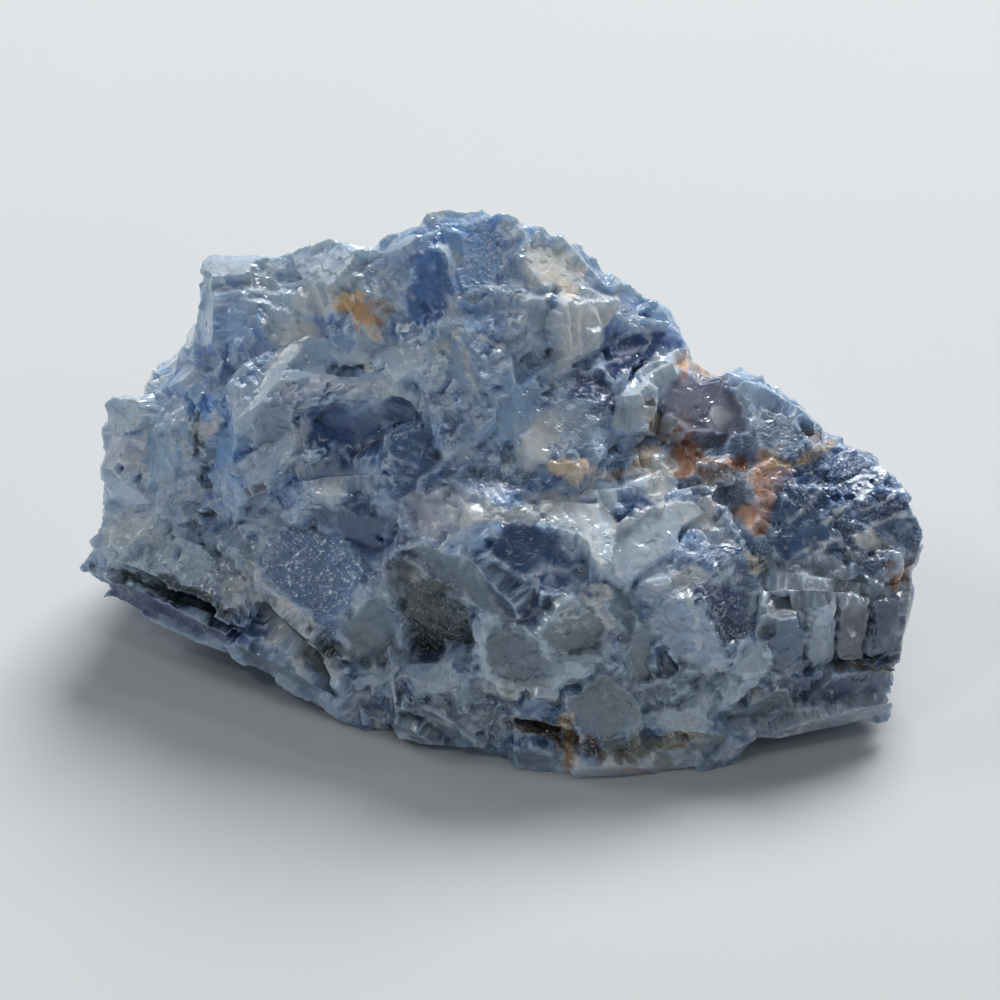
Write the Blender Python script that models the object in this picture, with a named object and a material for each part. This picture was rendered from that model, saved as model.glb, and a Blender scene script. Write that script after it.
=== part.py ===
"""A rough lump of massive blue calcite, lying on a broken flat.

Calcite breaks along three sets of flat planes, so its surface is a crowd of slanted blocks, each turned
its own way. The lump is built like that: three plain overlapping lumps give its bulk, cleavage blocks are
set into them, small blocks step along the faces of the large ones, and clefts and hollows are cut. All are
joined into one solid.

Sizes in the tables are in millimetres of the layout.
"""

import math
import random

import bmesh
import bpy
from mathutils import Matrix, Vector
from mathutils.bvhtree import BVHTree

# Driving dimension, in metres: the lump's length. The layout below is brought to it at the end.
LENGTH = 0.104

# The front is laid out as it looks from this far above level, as a place across and a rise up the view.
SIGHT = math.radians(38.0)
FRONT_FOOT = -26.0

# A lozenge of cleavage has this sharp angle, and blocks spread this much as they go in.
CLEAVAGE_ANGLE = 78.1
SIDE_SPREAD = (0.1, 0.9)
BROKEN_CORNERS = 0.45
CUT_SIDES = 6
UNEVEN = 0.08
BLOCK_DEPTH = 10.0
# The bulk is drawn in this far from the lumps' planes. A block's face is sunk under them, but for its proud.
INSET = 2.7
SUNK = 1.5
MOST_PROUD = 0.7
CHIPPED_FROM = 7.0
CHIPS_PER_BLOCK = 1
CHIP_SIZES = (2.0, 4.5)
CHIP_HEIGHTS = (0.1, 0.7)
# Rows of blocks round the back: how far up each faces, its first and last turn, and how many.
BACK_ROWS = ((-38, -60, 300, 12), (-12, 80, 280, 9), (12, 80, 280, 11), (34, 80, 280, 9), (58, 90, 270, 5))
BACK_BLOCK_SIZES = (9.0, 15.0)
BACK_FROM = 2.5
BULK_MIDDLE = Vector((0.0, 10.0, 20.0))
SEED = 7

# The bulk, as the corners of convex lumps. What lies below zero is cut off by the ground.
LUMPS = {
    "left_end": [
        (-49.5, 12, 31), (-44.5, 13, 31), (-50.8, 9, 23), (-52.3, 4, 12), (-51.8, 2, 9.5),
        (-44.4, -2, 6.7), (-46, -1, 13), (-34, -6, 12), (-30.6, -9, 5.2), (-36, 3, 29), (-45, 24, 26),
        (-43, 26, 8), (-34, 20, 2), (-28, 4, -1), (-24, 20, -1), (-24, 24, 30), (-24, -8, 14),
        (-20.5, -14.5, 2),
    ],
    "shoulder": [
        (-38, 18.5, 41.8), (-37.6, 19.5, 45.6), (-35, 20, 46.8), (-27, 20, 47), (-42.8, 15, 33.5),
        (-40, 17, 37), (-45, 12, 29), (-38, 3, 31), (-26, -2, 32), (-20, 18, 48), (-20, 2, 38),
        (-36, 32, 36), (-26, 34, 36), (-42, 26, 28), (-40, 30, 14), (-24, 38, 14), (-18, 38, 8),
        (-14, 34, 34), (-30, -7, 14), (-16, -10, 20), (-12, 10, 40),
    ],
    "crown": [
        (-9, 15, 57.5), (-6.5, 15.5, 57.6), (0, 16, 56.6), (8.8, 16, 52.4), (14.3, 15, 46),
        (-14.4, 16, 51.5), (-23, 17, 50), (-19.5, 17, 51), (21.3, 14, 41.3), (23, 12, 37.5),
        (-14, -4, 33), (8, -5, 34), (20, -1, 33), (-20, 34, 34), (5, 34, 38), (20, 28, 29),
        (-12, -14, 18), (8, -18, 19), (-24, 8, 42), (-4, 3, 47), (11, 4, 42.5), (-18, 38, 20),
        (8, 38, 22),
    ],
    "foot": [
        (-20, -14.5, 2), (-12, -19, 1.5), (-8, -20.5, 0.6), (3, -25, -6), (13, -27.5, -6), (23, -26, -6),
        (-12, -15, 18), (8, -19, 19), (24, -17, 20), (-22, -10, 12), (-18, 36, 4), (10, 36, -6),
        (26, 28, -6), (-22, 14, -6), (-10, 0, 34), (20, 0, 32), (-18, 38, 18), (12, 36, 20),
        (29, -20.5, 5), (-6, -11, 29), (14, -12, 29),
    ],
    "right": [
        (25.6, 11, 36), (29.4, 9, 38), (33.8, 8, 34.2), (39.4, 6, 30), (43.8, 4, 29), (48.8, 0, 27.5),
        (50.4, -3, 26), (52.3, -5, 22.8), (50.9, -9, 17), (50, -11, 13.5), (48.1, -14, 10),
        (47.5, -15, 2.8), (44.4, -17, 2.5), (36.9, -19.5, 1.8), (28.8, -22, 2), (46, 14, 21),
        (48, 8, 8), (40, 22, 14), (30, 28, 8), (28, 25, 26), (18, 32, 18), (44, -8, 0), (36, 10, -2),
        (20, 20, -6), (15, -20, -6), (14, 0, 34), (16, -15, 22), (30, -18, 16), (32, -10, 26),
    ],
}

# Front blocks, each named for what it is. The columns are the place of its face's middle, how far it stands
# out of the bulk, the way it faces (turn 0 is the front, 90 the right; lean 90 is up), how far its edges
# roll, and its face's width and height.
FRONT_BLOCKS = [
    ("left_wall", (-47.5, 41), 0.5, (-30, 15), 0, (9.2, 18.4)),
    ("left_wall_step", (-42.5, 44), 0.5, (-20, 20), 0, (9.2, 21.8)),
    ("left_wall_chip", (-46.6, 41), 1.5, (-20, 30), 10, (5, 4)),
    ("left_wall_inner", (-39.5, 40), 0.5, (10, 20), 5, (9.2, 20.7)),
    ("shoulder", (-34.4, 60), 0.5, (-15, 40), 0, (13.8, 18.4)),
    ("shoulder_side", (-39, 54), 0.5, (-45, 20), 0, (9.2, 16.1)),
    ("shoulder_face", (-33.5, 57), 1.0, (10, 25), 0, (9.2, 9.2)),
    ("shoulder_lump", (-28, 61), 0.8, (-5, 45), 15, (11.5, 11.5)),
    ("shoulder_foot", (-30, 55.5), 1.0, (-5, 35), -10, (8, 8)),
    ("hump", (-21, 63.5), 1.0, (0, 40), 10, (10.3, 10.3)),
    ("hump_foot", (-23, 58.5), 1.0, (-10, 30), 0, (6.9, 6.9)),
    ("hump_side", (-17, 60), 0.8, (25, 35), 0, (9.2, 13.8)),
    ("slant_ridge", (-27, 51), 1.5, (-20, 60), 40, (12.6, 6.9)),
    ("slant_face", (-28.8, 46.5), 0.5, (-30, 30), 0, (8, 9.2)),
    ("arch", (-21, 48.5), 1.5, (-5, 65), 0, (16, 5)),
    ("arch_face", (-20, 43.4), -0.8, (5, 20), 0, (16.1, 10.3)),
    ("ribbed", (-12, 40), 1.0, (25, 40), -25, (6.9, 11.5)),
    ("second_face", (-19.4, 31.5), 0.5, (5, 15), 0, (14.9, 9.2)),
    ("strip", (-28, 40), 1.0, (-25, 45), 45, (12, 5)),
    ("strip_chip", (-32, 36.5), 1.2, (-10, 10), 0, (4, 4)),
    ("glossy_slab", (-23.8, 27), 2.5, (-20, 55), -42, (16.1, 14.9)),
    ("slab_side", (-17.5, 19.6), 0.5, (25, 15), 0, (8, 10.3)),
    ("ledge", (-42.5, 27.8), 2.0, (-15, 60), -15, (23, 8)),
    ("ledge_lump", (-46.9, 30.9), 2.2, (-10, 50), 20, (5, 4)),
    ("ledge_tip", (-50.3, 27), 2.0, (-30, 30), -15, (5, 5)),
    ("ledge_foot", (-41, 20.5), 1.5, (-15, 0), -15, (17, 5)),
    ("low_left_a", (-29, 15), 1.0, (-20, 10), -25, (10.3, 6.9)),
    ("low_left_b", (-24, 11.5), 1.0, (-5, 10), -25, (10.3, 6.9)),
    ("low_left_c", (-17.5, 10), 1.0, (10, 5), -15, (9.2, 9.2)),
    ("hollow_rim", (-13.5, 25), 1.0, (0, 20), 0, (3, 5)),
    ("lump_dark_face", (-8, 26), 0.5, (-25, 10), -25, (11.5, 8)),
    ("lump_top", (2.5, 27.8), 2.0, (15, 35), -30, (13.8, 11.5)),
    ("lump_side", (8.4, 20), 1.5, (20, 10), -15, (10.3, 9.2)),
    ("grey_block", (1.6, 16.5), 1.5, (-10, 15), -20, (12.6, 10.3)),
    ("grey_tooth_a", (1, 12.5), 2.0, (-5, 20), -20, (3, 3)),
    ("grey_tooth_b", (5.5, 12.8), 2.0, (5, 20), -10, (3, 4)),
    ("grey_tooth_c", (9, 14.5), 2.0, (15, 20), 10, (3, 3)),
    ("vein_band", (1.2, 33.8), 1.0, (0, 60), -5, (20, 4)),
    ("sugar", (-5, 51), 0.5, (0, 45), 30, (11.5, 13.8)),
    ("below_sugar", (-3.8, 40), 0.5, (-5, 50), -15, (13.8, 10.3)),
    ("beside_sugar", (-11, 48.4), 0.8, (20, 30), 10, (6.9, 6.9)),
    ("crown_face", (-8.8, 61.5), 1.0, (-10, 25), 0, (9.2, 13.8)),
    ("crown_slope", (-1.9, 61.5), 1.0, (10, 45), 15, (12.6, 16.1)),
    ("crown_cap", (-6.3, 69), 0.5, (0, 50), 0, (8, 5)),
    ("crown_right", (4.4, 64), 0.8, (25, 45), 10, (10.3, 10.3)),
    ("crown_step", (2.5, 57), 1.0, (-5, 20), 0, (6.9, 8)),
    ("crown_left", (-13, 65), 0.5, (-20, 45), 10, (9.2, 9.2)),
    ("crown_end", (9.4, 63), 0.3, (40, 50), 0, (9.2, 8)),
    ("white_step", (8.8, 55.9), 2.0, (5, 15), 3, (5.5, 6.5)),
    ("under_step", (11, 49), 0.0, (0, 35), 0, (7, 5)),
    ("dark_lens", (17, 54), 0.5, (5, 20), 5, (11.5, 9.2)),
    ("lens_cap", (21, 56), 0.3, (30, 40), 0, (5, 6)),
    ("lens_top", (13, 60), 0.3, (30, 45), 10, (9.2, 6.9)),
    ("framed_crystal", (18.8, 51), 1.5, (-20, 40), 35, (5, 6)),
    ("framed_foot", (16, 46.5), 1.0, (0, 45), 0, (5, 5)),
    ("pale_slope", (6, 45), 0.8, (5, 45), 35, (11.5, 10.3)),
    ("flat_face", (24.4, 46), 1.0, (-5, 30), 15, (11.5, 10.3)),
    ("peak_slope", (34, 44.5), 0.8, (20, 45), -30, (11.5, 9.2)),
    ("peak_foot", (32.5, 41), 1.0, (0, 35), -15, (10.3, 6.9)),
    ("peak", (29.8, 49), 0.3, (-10, 45), 20, (6, 5)),
    ("stained_floor", (23, 39.6), -0.3, (0, 60), 0, (8, 4)),
    ("stained_chip", (25.6, 38.4), 1.2, (-15, 20), 10, (4, 3)),
    ("salmon_lump", (32.5, 36.8), 0.8, (10, 40), 20, (6, 5)),
    ("tan_pebble", (7, 39), 1.0, (0, 40), 10, (4.5, 2.2)),
    ("gravel", (18, 38.5), 0.8, (5, 45), -20, (6, 4)),
    ("dome_top", (43, 36.5), 0.8, (25, 50), 20, (13.8, 10.3)),
    ("dome_front", (37, 32.8), 0.8, (0, 45), 25, (11.5, 9.2)),
    ("dome_side", (45.6, 30.3), 0.5, (20, 30), 15, (10.3, 10.3)),
    ("dome_foot", (38.8, 27.5), 1.0, (0, 40), 10, (10, 5)),
    ("end_face", (49.5, 24), 0.5, (70, 10), 0, (13.8, 13.8)),
    ("end_foot", (48.3, 16.5), 0.3, (60, -5), 0, (10.3, 10.3)),
    ("pillar_a", (34, 18.4), 1.5, (-10, 10), 0, (6.9, 10.3)),
    ("pillar_b", (37.3, 19.4), 2.0, (0, 8), 0, (4.5, 10)),
    ("pillar_c", (42, 19.6), 1.5, (5, 5), 0, (5, 8)),
    ("pillar_d", (46, 20), 1.0, (15, 0), 0, (5, 8)),
    ("teal_face", (41.6, 12.7), 1.0, (5, 5), -5, (13, 5)),
    ("right_slab", (38.4, 8), 1.5, (5, 10), -8, (20, 4.5)),
    ("white_facet", (29.4, 15.3), 1.2, (-25, 35), 30, (6.9, 6.9)),
    ("white_facet_tip", (32, 11.3), 1.5, (-10, 20), 0, (4, 4)),
    ("glassy_a", (15.6, 34), 1.0, (10, 50), 10, (8, 6.9)),
    ("glassy_b", (21.9, 32.8), 0.8, (-10, 45), 20, (9.2, 6.9)),
    ("glassy_c", (20, 26.5), 1.5, (-15, 45), -20, (10.3, 6.9)),
    ("glassy_d", (26.3, 25), 1.0, (15, 35), 25, (9.2, 9.2)),
    ("glassy_e", (14.4, 27.8), 0.8, (20, 35), 0, (6.9, 8)),
    ("glassy_f", (24.4, 20), 1.0, (-5, 30), -10, (9.2, 6.9)),
    ("glassy_g", (17, 21.5), 0.8, (-10, 20), 15, (8, 8)),
    ("low_a", (14.4, 14), 0.8, (10, 15), -10, (9.2, 9.2)),
    ("low_b", (19.4, 10), 1.0, (-10, 15), 10, (9.2, 8)),
    ("low_c", (25, 11.3), 0.8, (15, 10), 0, (8, 9.2)),
    ("low_d", (12, 7.8), 0.8, (0, 10), -5, (8, 6.9)),
    ("foot_a", (5, 3.4), 1.0, (-5, 5), -10, (7, 4)),
    ("foot_b", (12, 2.2), 0.8, (0, 0), 0, (8, 4)),
    ("foot_d", (26.5, 4.4), 1.2, (20, 5), 12, (7, 5)),
    ("foot_c", (19.4, 3.4), 0.8, (10, 5), 8, (8, 4)),
    ("low_middle_a", (-8, 11.5), 0.8, (-5, 25), 10, (9.2, 8)),
    ("low_middle_b", (-1.9, 10), 0.8, (10, 15), -10, (8, 9.2)),
    ("low_middle_c", (-9.4, 6.5), 1.0, (-5, 0), -5, (7, 3.5)),
    ("low_middle_d", (-3, 5.9), 1.0, (5, 0), -5, (6, 3)),
    ("low_middle_e", (4.4, 10), 0.8, (-5, 20), 15, (8, 6.9)),
]

# Clefts and hollows in the front: place, the way each opens, roll, and (width, height, depth).
FRONT_CUTS = [
    ("ledge_cleft", (-41, 23.6), (-15, 10), -15, (16, 1.8, 5)),
    ("slab_undercut", (-25.5, 17), (-15, 5), -42, (12, 2.6, 5)),
    ("hollow", (-8, 20), (0, 25), 10, (8, 8, 6)),
    ("arch_hollow", (-20, 44), (5, 30), 0, (13, 6, 2.5)),
    ("pillar_recess", (33.6, 21.6), (0, 20), 0, (3, 2.2, 3)),
    ("pillar_crack", (44, 15.4), (10, 5), -5, (10, 0.8, 3)),
    ("foot_crack", (5, 6.8), (-5, 10), -12, (9, 1.1, 4)),
    ("wall_crack", (-37, 40), (0, 20), 80, (8, 1.0, 3.5)),
    ("stained_hollow", (21.3, 40.5), (0, 45), 10, (4, 3, 3)),
    ("step_shadow", (11, 51.8), (10, 30), 5, (6, 1.4, 3.5)),
]


def facing(turn, lean):
    """The direction that faces this way, with its right and its up within the face."""
    turn = math.radians(turn)
    lean = math.radians(lean)
    out = Vector((math.sin(turn) * math.cos(lean), -math.cos(turn) * math.cos(lean), math.sin(lean)))
    right = Vector((math.cos(turn), math.sin(turn), 0.0))
    return out, right, out.cross(right)


def rolled(right, up, roll):
    """The same right and up, rolled within their face."""
    roll = math.radians(roll)
    aside = right * math.cos(roll) + up * math.sin(roll)
    return aside, up * math.cos(roll) - right * math.sin(roll)


def add_hull(bm, points):
    """A closed convex body round the points."""
    verts = [bm.verts.new(p) for p in points]
    made = bmesh.ops.convex_hull(bm, input=verts)
    spare = {v for v in made["geom_interior"] + made["geom_unused"] if isinstance(v, bmesh.types.BMVert)}
    bmesh.ops.delete(bm, geom=list(spare), context="VERTS")


def face_corners(rng, wide, tall):
    """The four corners of a block's face, a worn cleavage lozenge."""
    skew = rng.choice((-1, 1)) * math.tan(math.radians(90 - CLEAVAGE_ANGLE)) / 2
    corners = []
    for a, b in ((-1, -1), (1, -1), (1, 1), (-1, 1)):
        x = a * wide / 2 + b * skew * tall + rng.uniform(-1, 1) * UNEVEN * wide
        y = b * tall / 2 + rng.uniform(-1, 1) * UNEVEN * tall
        corners.append(Vector((x, y)))
    return corners


def broken(rng, corners):
    """The outline with some corners broken off."""
    outline = []
    for i, corner in enumerate(corners):
        if rng.random() < BROKEN_CORNERS:
            outline.append(corner.lerp(corners[i - 1], rng.uniform(0.15, 0.4)))
            outline.append(corner.lerp(corners[(i + 1) % 4], rng.uniform(0.15, 0.4)))
        else:
            outline.append(corner)
    return outline


def planes_of(corners):
    """The outward planes of the convex lump round these corners, as (normal, offset)."""
    bm = bmesh.new()
    add_hull(bm, corners)
    bmesh.ops.recalc_face_normals(bm, faces=bm.faces)
    found = [(f.normal.copy(), f.normal.dot(f.verts[0].co)) for f in bm.faces]
    bm.free()
    return found


def drawn_in(point, lumps, most):
    """The point, drawn in until it is no more than this far outside the lumps."""
    for _ in range(3):
        far = [max((n.dot(point) - offset, n) for n, offset in planes) for planes in lumps]
        out, normal = min(far, key=lambda found: found[0])
        if out <= most:
            return point
        point = point - normal * (out - most)
    return point


def add_block(bm, rng, lumps, place, turn, lean, roll, size, most=MOST_PROUD):
    """One block of uneven outline, whose sides slope out into the bulk."""
    out, right, up = facing(turn, lean)
    aside, along = rolled(right, up, roll)
    depth = BLOCK_DEPTH * min(1.0, 0.3 + 0.07 * min(size))
    corners = face_corners(rng, *size)
    points = []
    for x, y in broken(rng, corners):
        points.append(drawn_in(place + aside * x + along * y, lumps, most))
    for x, y in corners:
        away = (aside * x + along * y).normalized() * rng.uniform(*SIDE_SPREAD)
        foot = place + aside * x + along * y + (away - out) * depth
        points.append(drawn_in(foot, lumps, -INSET - 0.3))
    add_hull(bm, points)
    return aside, along


def add_blocks(bm, rng, lumps, place, turn, lean, roll, size, most=MOST_PROUD):
    """A block, and the chips that stand on its face and along its edges."""
    aside, along = add_block(bm, rng, lumps, place, turn, lean, roll, size, most)
    if min(size) < CHIPPED_FROM:
        return
    for _ in range(CHIPS_PER_BLOCK):
        spot = place + aside * rng.uniform(-0.55, 0.55) * size[0] + along * rng.uniform(-0.55, 0.55) * size[1]
        spot += facing(turn, lean)[0] * rng.uniform(*CHIP_HEIGHTS)
        chip = (rng.uniform(*CHIP_SIZES), rng.uniform(*CHIP_SIZES))
        own_turn = turn + rng.uniform(-20, 20)
        own_lean = lean + rng.uniform(-20, 20)
        add_block(bm, rng, lumps, spot, own_turn, own_lean, rng.uniform(-60, 60), chip, most)


def front_place(bulk, place, proud=0.0):
    """Where the sight line at this place meets the bulk, moved this far out towards the viewer."""
    out, right, up = facing(0.0, math.degrees(SIGHT))
    across, rise = place
    start = right * across + up * (rise + FRONT_FOOT * math.sin(SIGHT)) + out * 200
    for nudge in (0.0, 1.5, 3.0, 4.5, 6.0):
        towards = (Vector((0, 14, 20)) - start)
        aim = (towards - out * towards.dot(out)).normalized() * nudge
        hit = bulk.ray_cast(start + aim, -out)[0]
        if hit is not None:
            return hit + out * proud
    raise ValueError(f"no bulk at {place}")


def add_front_blocks(bm, rng, lumps, bulk):
    for _name, place, proud, (turn, lean), roll, size in FRONT_BLOCKS:
        middle = front_place(bulk, place, proud - SUNK)
        most = MOST_PROUD + max(0.0, proud - 1.0)
        add_blocks(bm, rng, lumps, middle, turn, lean, roll, size, most)


def add_back_blocks(bm, rng, lumps, bulk):
    """Blocks round the back, the ends and the underside, in rows up the bulk."""
    for lean, first, last, count in BACK_ROWS:
        for i in range(count):
            turn = first + (last - first) * (i + rng.uniform(0.2, 0.8)) / count
            out = facing(turn, lean)[0]
            sight = Vector((out.x * 2.2, out.y, out.z)).normalized()
            start = BULK_MIDDLE + Vector((rng.uniform(-4, 4), 0, 0)) + sight * 200
            hit, flat, _, _ = bulk.ray_cast(start, -sight)
            if hit is None or hit.z < BACK_FROM:
                continue
            own_turn = math.degrees(math.atan2(flat.x, -flat.y)) + rng.uniform(-25, 25)
            own_lean = math.degrees(math.asin(flat.z)) + rng.uniform(-22, 22)
            size = (rng.uniform(*BACK_BLOCK_SIZES), rng.uniform(*BACK_BLOCK_SIZES))
            place = hit - flat * (SUNK - rng.uniform(0, 1.2))
            add_blocks(bm, rng, lumps, place, own_turn, own_lean, rng.uniform(-50, 50), size)


def add_front_cuts(bm, rng, bulk):
    """Uneven holes that narrow as they go in."""
    for _name, place, (turn, lean), roll, (wide, tall, deep) in FRONT_CUTS:
        out, right, up = facing(turn, lean)
        aside, along = rolled(right, up, roll)
        middle = front_place(bulk, place)
        points = []
        for i in range(CUT_SIDES):
            a = math.tau * (i + rng.uniform(-0.2, 0.2)) / CUT_SIDES
            x = aside * math.cos(a) * wide * 0.55
            y = along * math.sin(a) * tall * 0.55
            points.append(middle + (x + y) * rng.uniform(0.9, 1.1) - out * SUNK)
            points.append(middle + (x + y) * rng.uniform(1.2, 1.6) + out * deep)
            points.append(middle + (x + y) * rng.uniform(0.4, 0.8) - out * deep * rng.uniform(0.75, 1.1))
        add_hull(bm, points)


def new_object(name, bm, material=None):
    bmesh.ops.recalc_face_normals(bm, faces=bm.faces)
    mesh = bpy.data.meshes.new(name)
    bm.to_mesh(mesh)
    bm.free()
    if material:
        mesh.materials.append(material)
    made = bpy.data.objects.new(name, mesh)
    bpy.context.scene.collection.objects.link(made)
    return made


def join(stone, other, operation):
    """Joins the other object to the stone, or cuts it away, and keeps the result."""
    other.hide_render = True
    other.display_type = "WIRE"
    step = stone.modifiers.new(operation.title(), "BOOLEAN")
    step.operation = operation
    step.solver = "EXACT"
    step.use_self = operation == "UNION"
    step.object = other
    graph = bpy.context.evaluated_depsgraph_get()
    joined = bpy.data.meshes.new_from_object(stone.evaluated_get(graph), depsgraph=graph)
    stone.modifiers.remove(step)
    stone.data = joined
    bpy.data.objects.remove(other)


def islands(bm):
    """The faces of each connected part."""
    left = set(bm.faces)
    while left:
        start = left.pop()
        found = {start}
        edge_of = [start]
        while edge_of:
            face = edge_of.pop()
            near = {f for e in face.edges for f in e.link_faces}
            new = near & left
            left -= new
            found |= new
            edge_of += new
        yield found


def keep_outside(bm):
    """Fills the gaps that blocks enclose, by leaving out all but the outer skin."""
    parts = sorted(islands(bm), key=len)
    for part in parts[:-1]:
        bmesh.ops.delete(bm, geom=list(part), context="FACES")


def settle(bm):
    """Brings the layout to its length in metres, with the origin under the middle of the lump."""
    bmesh.ops.triangulate(bm, faces=bm.faces)
    lows = [min(v.co[i] for v in bm.verts) for i in range(3)]
    highs = [max(v.co[i] for v in bm.verts) for i in range(3)]
    middle = Vector(((lows[0] + highs[0]) / 2, (lows[1] + highs[1]) / 2, lows[2]))
    bmesh.ops.translate(bm, verts=bm.verts, vec=-middle)
    scale = LENGTH / (highs[0] - lows[0])
    bmesh.ops.scale(bm, verts=bm.verts, vec=(scale, scale, scale))


def calcite_material():
    made = bpy.data.materials.new("blue calcite")
    made.use_nodes = True
    shader = made.node_tree.nodes["Principled BSDF"]
    shader.inputs["Base Color"].default_value = (0.17, 0.24, 0.42, 1.0)
    shader.inputs["Roughness"].default_value = 0.4
    shader.inputs["Metallic"].default_value = 0.0
    return made


def main():
    for old in list(bpy.data.objects):
        bpy.data.objects.remove(old)
    rng = random.Random(SEED)
    bulk_mesh = bmesh.new()
    core = bmesh.new()
    lumps = []
    for corners in LUMPS.values():
        points = [Vector(p) for p in corners]
        lumps.append(planes_of(points))
        add_hull(bulk_mesh, points)
        add_hull(core, [drawn_in(p, lumps[-1:], -INSET) for p in points])
    bulk = BVHTree.FromBMesh(bulk_mesh)
    bulk_mesh.free()

    blocks = bmesh.new()
    add_front_blocks(blocks, rng, lumps, bulk)
    add_back_blocks(blocks, rng, lumps, bulk)
    cuts = bmesh.new()
    add_front_cuts(cuts, rng, bulk)
    ground = bmesh.new()
    bmesh.ops.create_cube(ground, size=300.0, matrix=Matrix.Translation((0, 0, -150)))

    stone = new_object("calcite", core, calcite_material())
    join(stone, new_object("blocks", blocks), "UNION")
    join(stone, new_object("cuts", cuts), "DIFFERENCE")
    join(stone, new_object("ground", ground), "DIFFERENCE")

    skin = bmesh.new()
    skin.from_mesh(stone.data)
    keep_outside(skin)
    settle(skin)
    skin.to_mesh(stone.data)
    skin.free()


main()
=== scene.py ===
"""Blue calcite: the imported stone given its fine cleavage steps, milky veils, sparkle and rust stains."""

import itertools
import math

import bpy
import numpy as np
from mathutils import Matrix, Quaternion, Vector, noise
from mathutils.bvhtree import BVHTree
from mathutils.kdtree import KDTree


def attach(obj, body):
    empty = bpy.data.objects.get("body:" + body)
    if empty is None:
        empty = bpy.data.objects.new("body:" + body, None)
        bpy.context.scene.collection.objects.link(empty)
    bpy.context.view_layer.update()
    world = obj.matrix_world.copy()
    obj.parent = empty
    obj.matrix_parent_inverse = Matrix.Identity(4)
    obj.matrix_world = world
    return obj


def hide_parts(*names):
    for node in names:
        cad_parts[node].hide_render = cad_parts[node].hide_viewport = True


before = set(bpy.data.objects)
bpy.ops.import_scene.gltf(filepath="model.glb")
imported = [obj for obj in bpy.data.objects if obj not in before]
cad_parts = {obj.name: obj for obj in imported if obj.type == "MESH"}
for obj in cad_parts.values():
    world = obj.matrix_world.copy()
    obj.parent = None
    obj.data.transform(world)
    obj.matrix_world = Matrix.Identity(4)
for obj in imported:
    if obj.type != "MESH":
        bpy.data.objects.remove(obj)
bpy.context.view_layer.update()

MM = 0.001
SEED = 11

# The stone's net: its spacing in millimetres, the share of its faces kept before it is broken, its triangles
# at the end, and the angle from which an edge is sharp.
GRID = 0.3
HIDDEN_SHARE = 0.45
FINAL_TRIANGLES = 192000
SHARP = math.radians(22.0)

# The stone is laid out as it looks from the camera: a place across and a rise up the view, in layout units.
SIGHT = math.radians(38.0)
FRONT_FOOT = -26.0
LAYOUT_MIDDLE = np.array((-0.963, 7.291, 0.0))
LAYOUT_UNIT = 0.98454 * MM
TO_CAMERA = np.array((0.0, -math.cos(SIGHT), math.sin(SIGHT)))
UP_VIEW = np.array((0.0, math.sin(SIGHT), math.cos(SIGHT)))
OUTSIDE = 200.0  # well past the stone, in layout units

# Where the layout's origin is, in thousandths of the picture from its left and top, and how many thousandths
# one layout unit takes up.
PICTURE_ORIGIN = (505.0, 782.0)
PICTURE_UNIT = (8.0, -8.0)

# A crystal breaks into blocks. Each size is along the crystal's three cleavage directions, and the last one
# of them points outwards.
BIG_CRYSTALS, SMALL_CRYSTALS = 240, 5000
COARSE_BLOCK = (7.5, 5.0, 1.1)
MIDDLE_BLOCK = (6.0, 1.2, 0.35)
FINE_BLOCK = (1.1, 0.9, 0.3)
SLANT = math.radians(78.0)  # between the first two directions

# How much of its named height a line gets, and how rough it is.
LINE_RELIEF = 0.45
LINE_ROUGHNESS = 0.2

# The most that a point is drawn in or out to the outline, how much the later steps add to the outline, and
# the most that a point is drawn to its face's plane.
MOST_DRAWN = 3.0
STEPS_ADD = 0.4
MOST_FLATTENED = 2.2

# Colours of the stone, linear red, green and blue.
COLOURS = {
    "navy": (0.020, 0.048, 0.135),
    "deep": (0.028, 0.082, 0.195),
    "blue": (0.090, 0.180, 0.325),
    "sky": (0.240, 0.390, 0.580),
    "slate": (0.120, 0.170, 0.240),
    "smoke": (0.115, 0.168, 0.212),
    "steel": (0.270, 0.370, 0.500),
    "grey": (0.310, 0.375, 0.435),
    "milk": (0.560, 0.670, 0.790),
    "white": (0.900, 0.940, 0.990),
    "purple": (0.120, 0.125, 0.175),
    "lilac": (0.340, 0.370, 0.450),
    # painted shade: the near-black of undercuts, recesses, clefts and cracks
    "hollow": (0.018, 0.032, 0.038),
    "beige": (0.560, 0.540, 0.480),
    "tan": (0.600, 0.460, 0.320),
    "ochre": (0.420, 0.270, 0.100),
    "olive": (0.230, 0.200, 0.100),
    "brown": (0.120, 0.080, 0.045),
    "rust": (0.270, 0.105, 0.035),
    "salmon": (0.520, 0.280, 0.160),
}
VEIN_BLUE = (0.70, 0.78, 0.90, 1.0)
# White flecks: partly white grains, partly painted glitter highlights.
FLECK_AND_GLITTER_WHITE = (0.74, 0.85, 0.98, 1.0)
# Painted shade in tiny pits.
PIT_SHADE_BLUE = (0.03, 0.06, 0.11, 1.0)
FLOOR_TONES = ((0.8, 0.82, 0.83, 1.0), (0.84, 0.86, 0.87, 1.0))
SKY_TONE = (0.86, 0.92, 0.96, 1.0)

# How a face is broken: its shares of the coarse, middle and fine steps, its roughness and its sparkle.
COARSE, MIDDLE, FINE, ROUGH, SPARK = range(5)
FINISHES = {
    "glassy": (0.6, 0.0, 0.0, 0.14, 0.08),
    "stepped": (1.0, 0.9, 0.0, 0.24, 0.4),
    "sugary": (0.8, 0.5, 1.0, 0.32, 1.0),
    "dull": (0.8, 0.3, 0.7, 0.4, 0.3),
}

# The stone's surface, where it is the same all over.
SURFACE = {
    "Subsurface Weight": 0.35,
    "Subsurface Radius": (0.5, 0.8, 1.0),
    "Subsurface Scale": 0.002,
    "IOR": 1.5,
    "Coat Weight": 0.7,
    "Coat Roughness": 0.18,
    "Coat IOR": 1.6,
}

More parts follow.
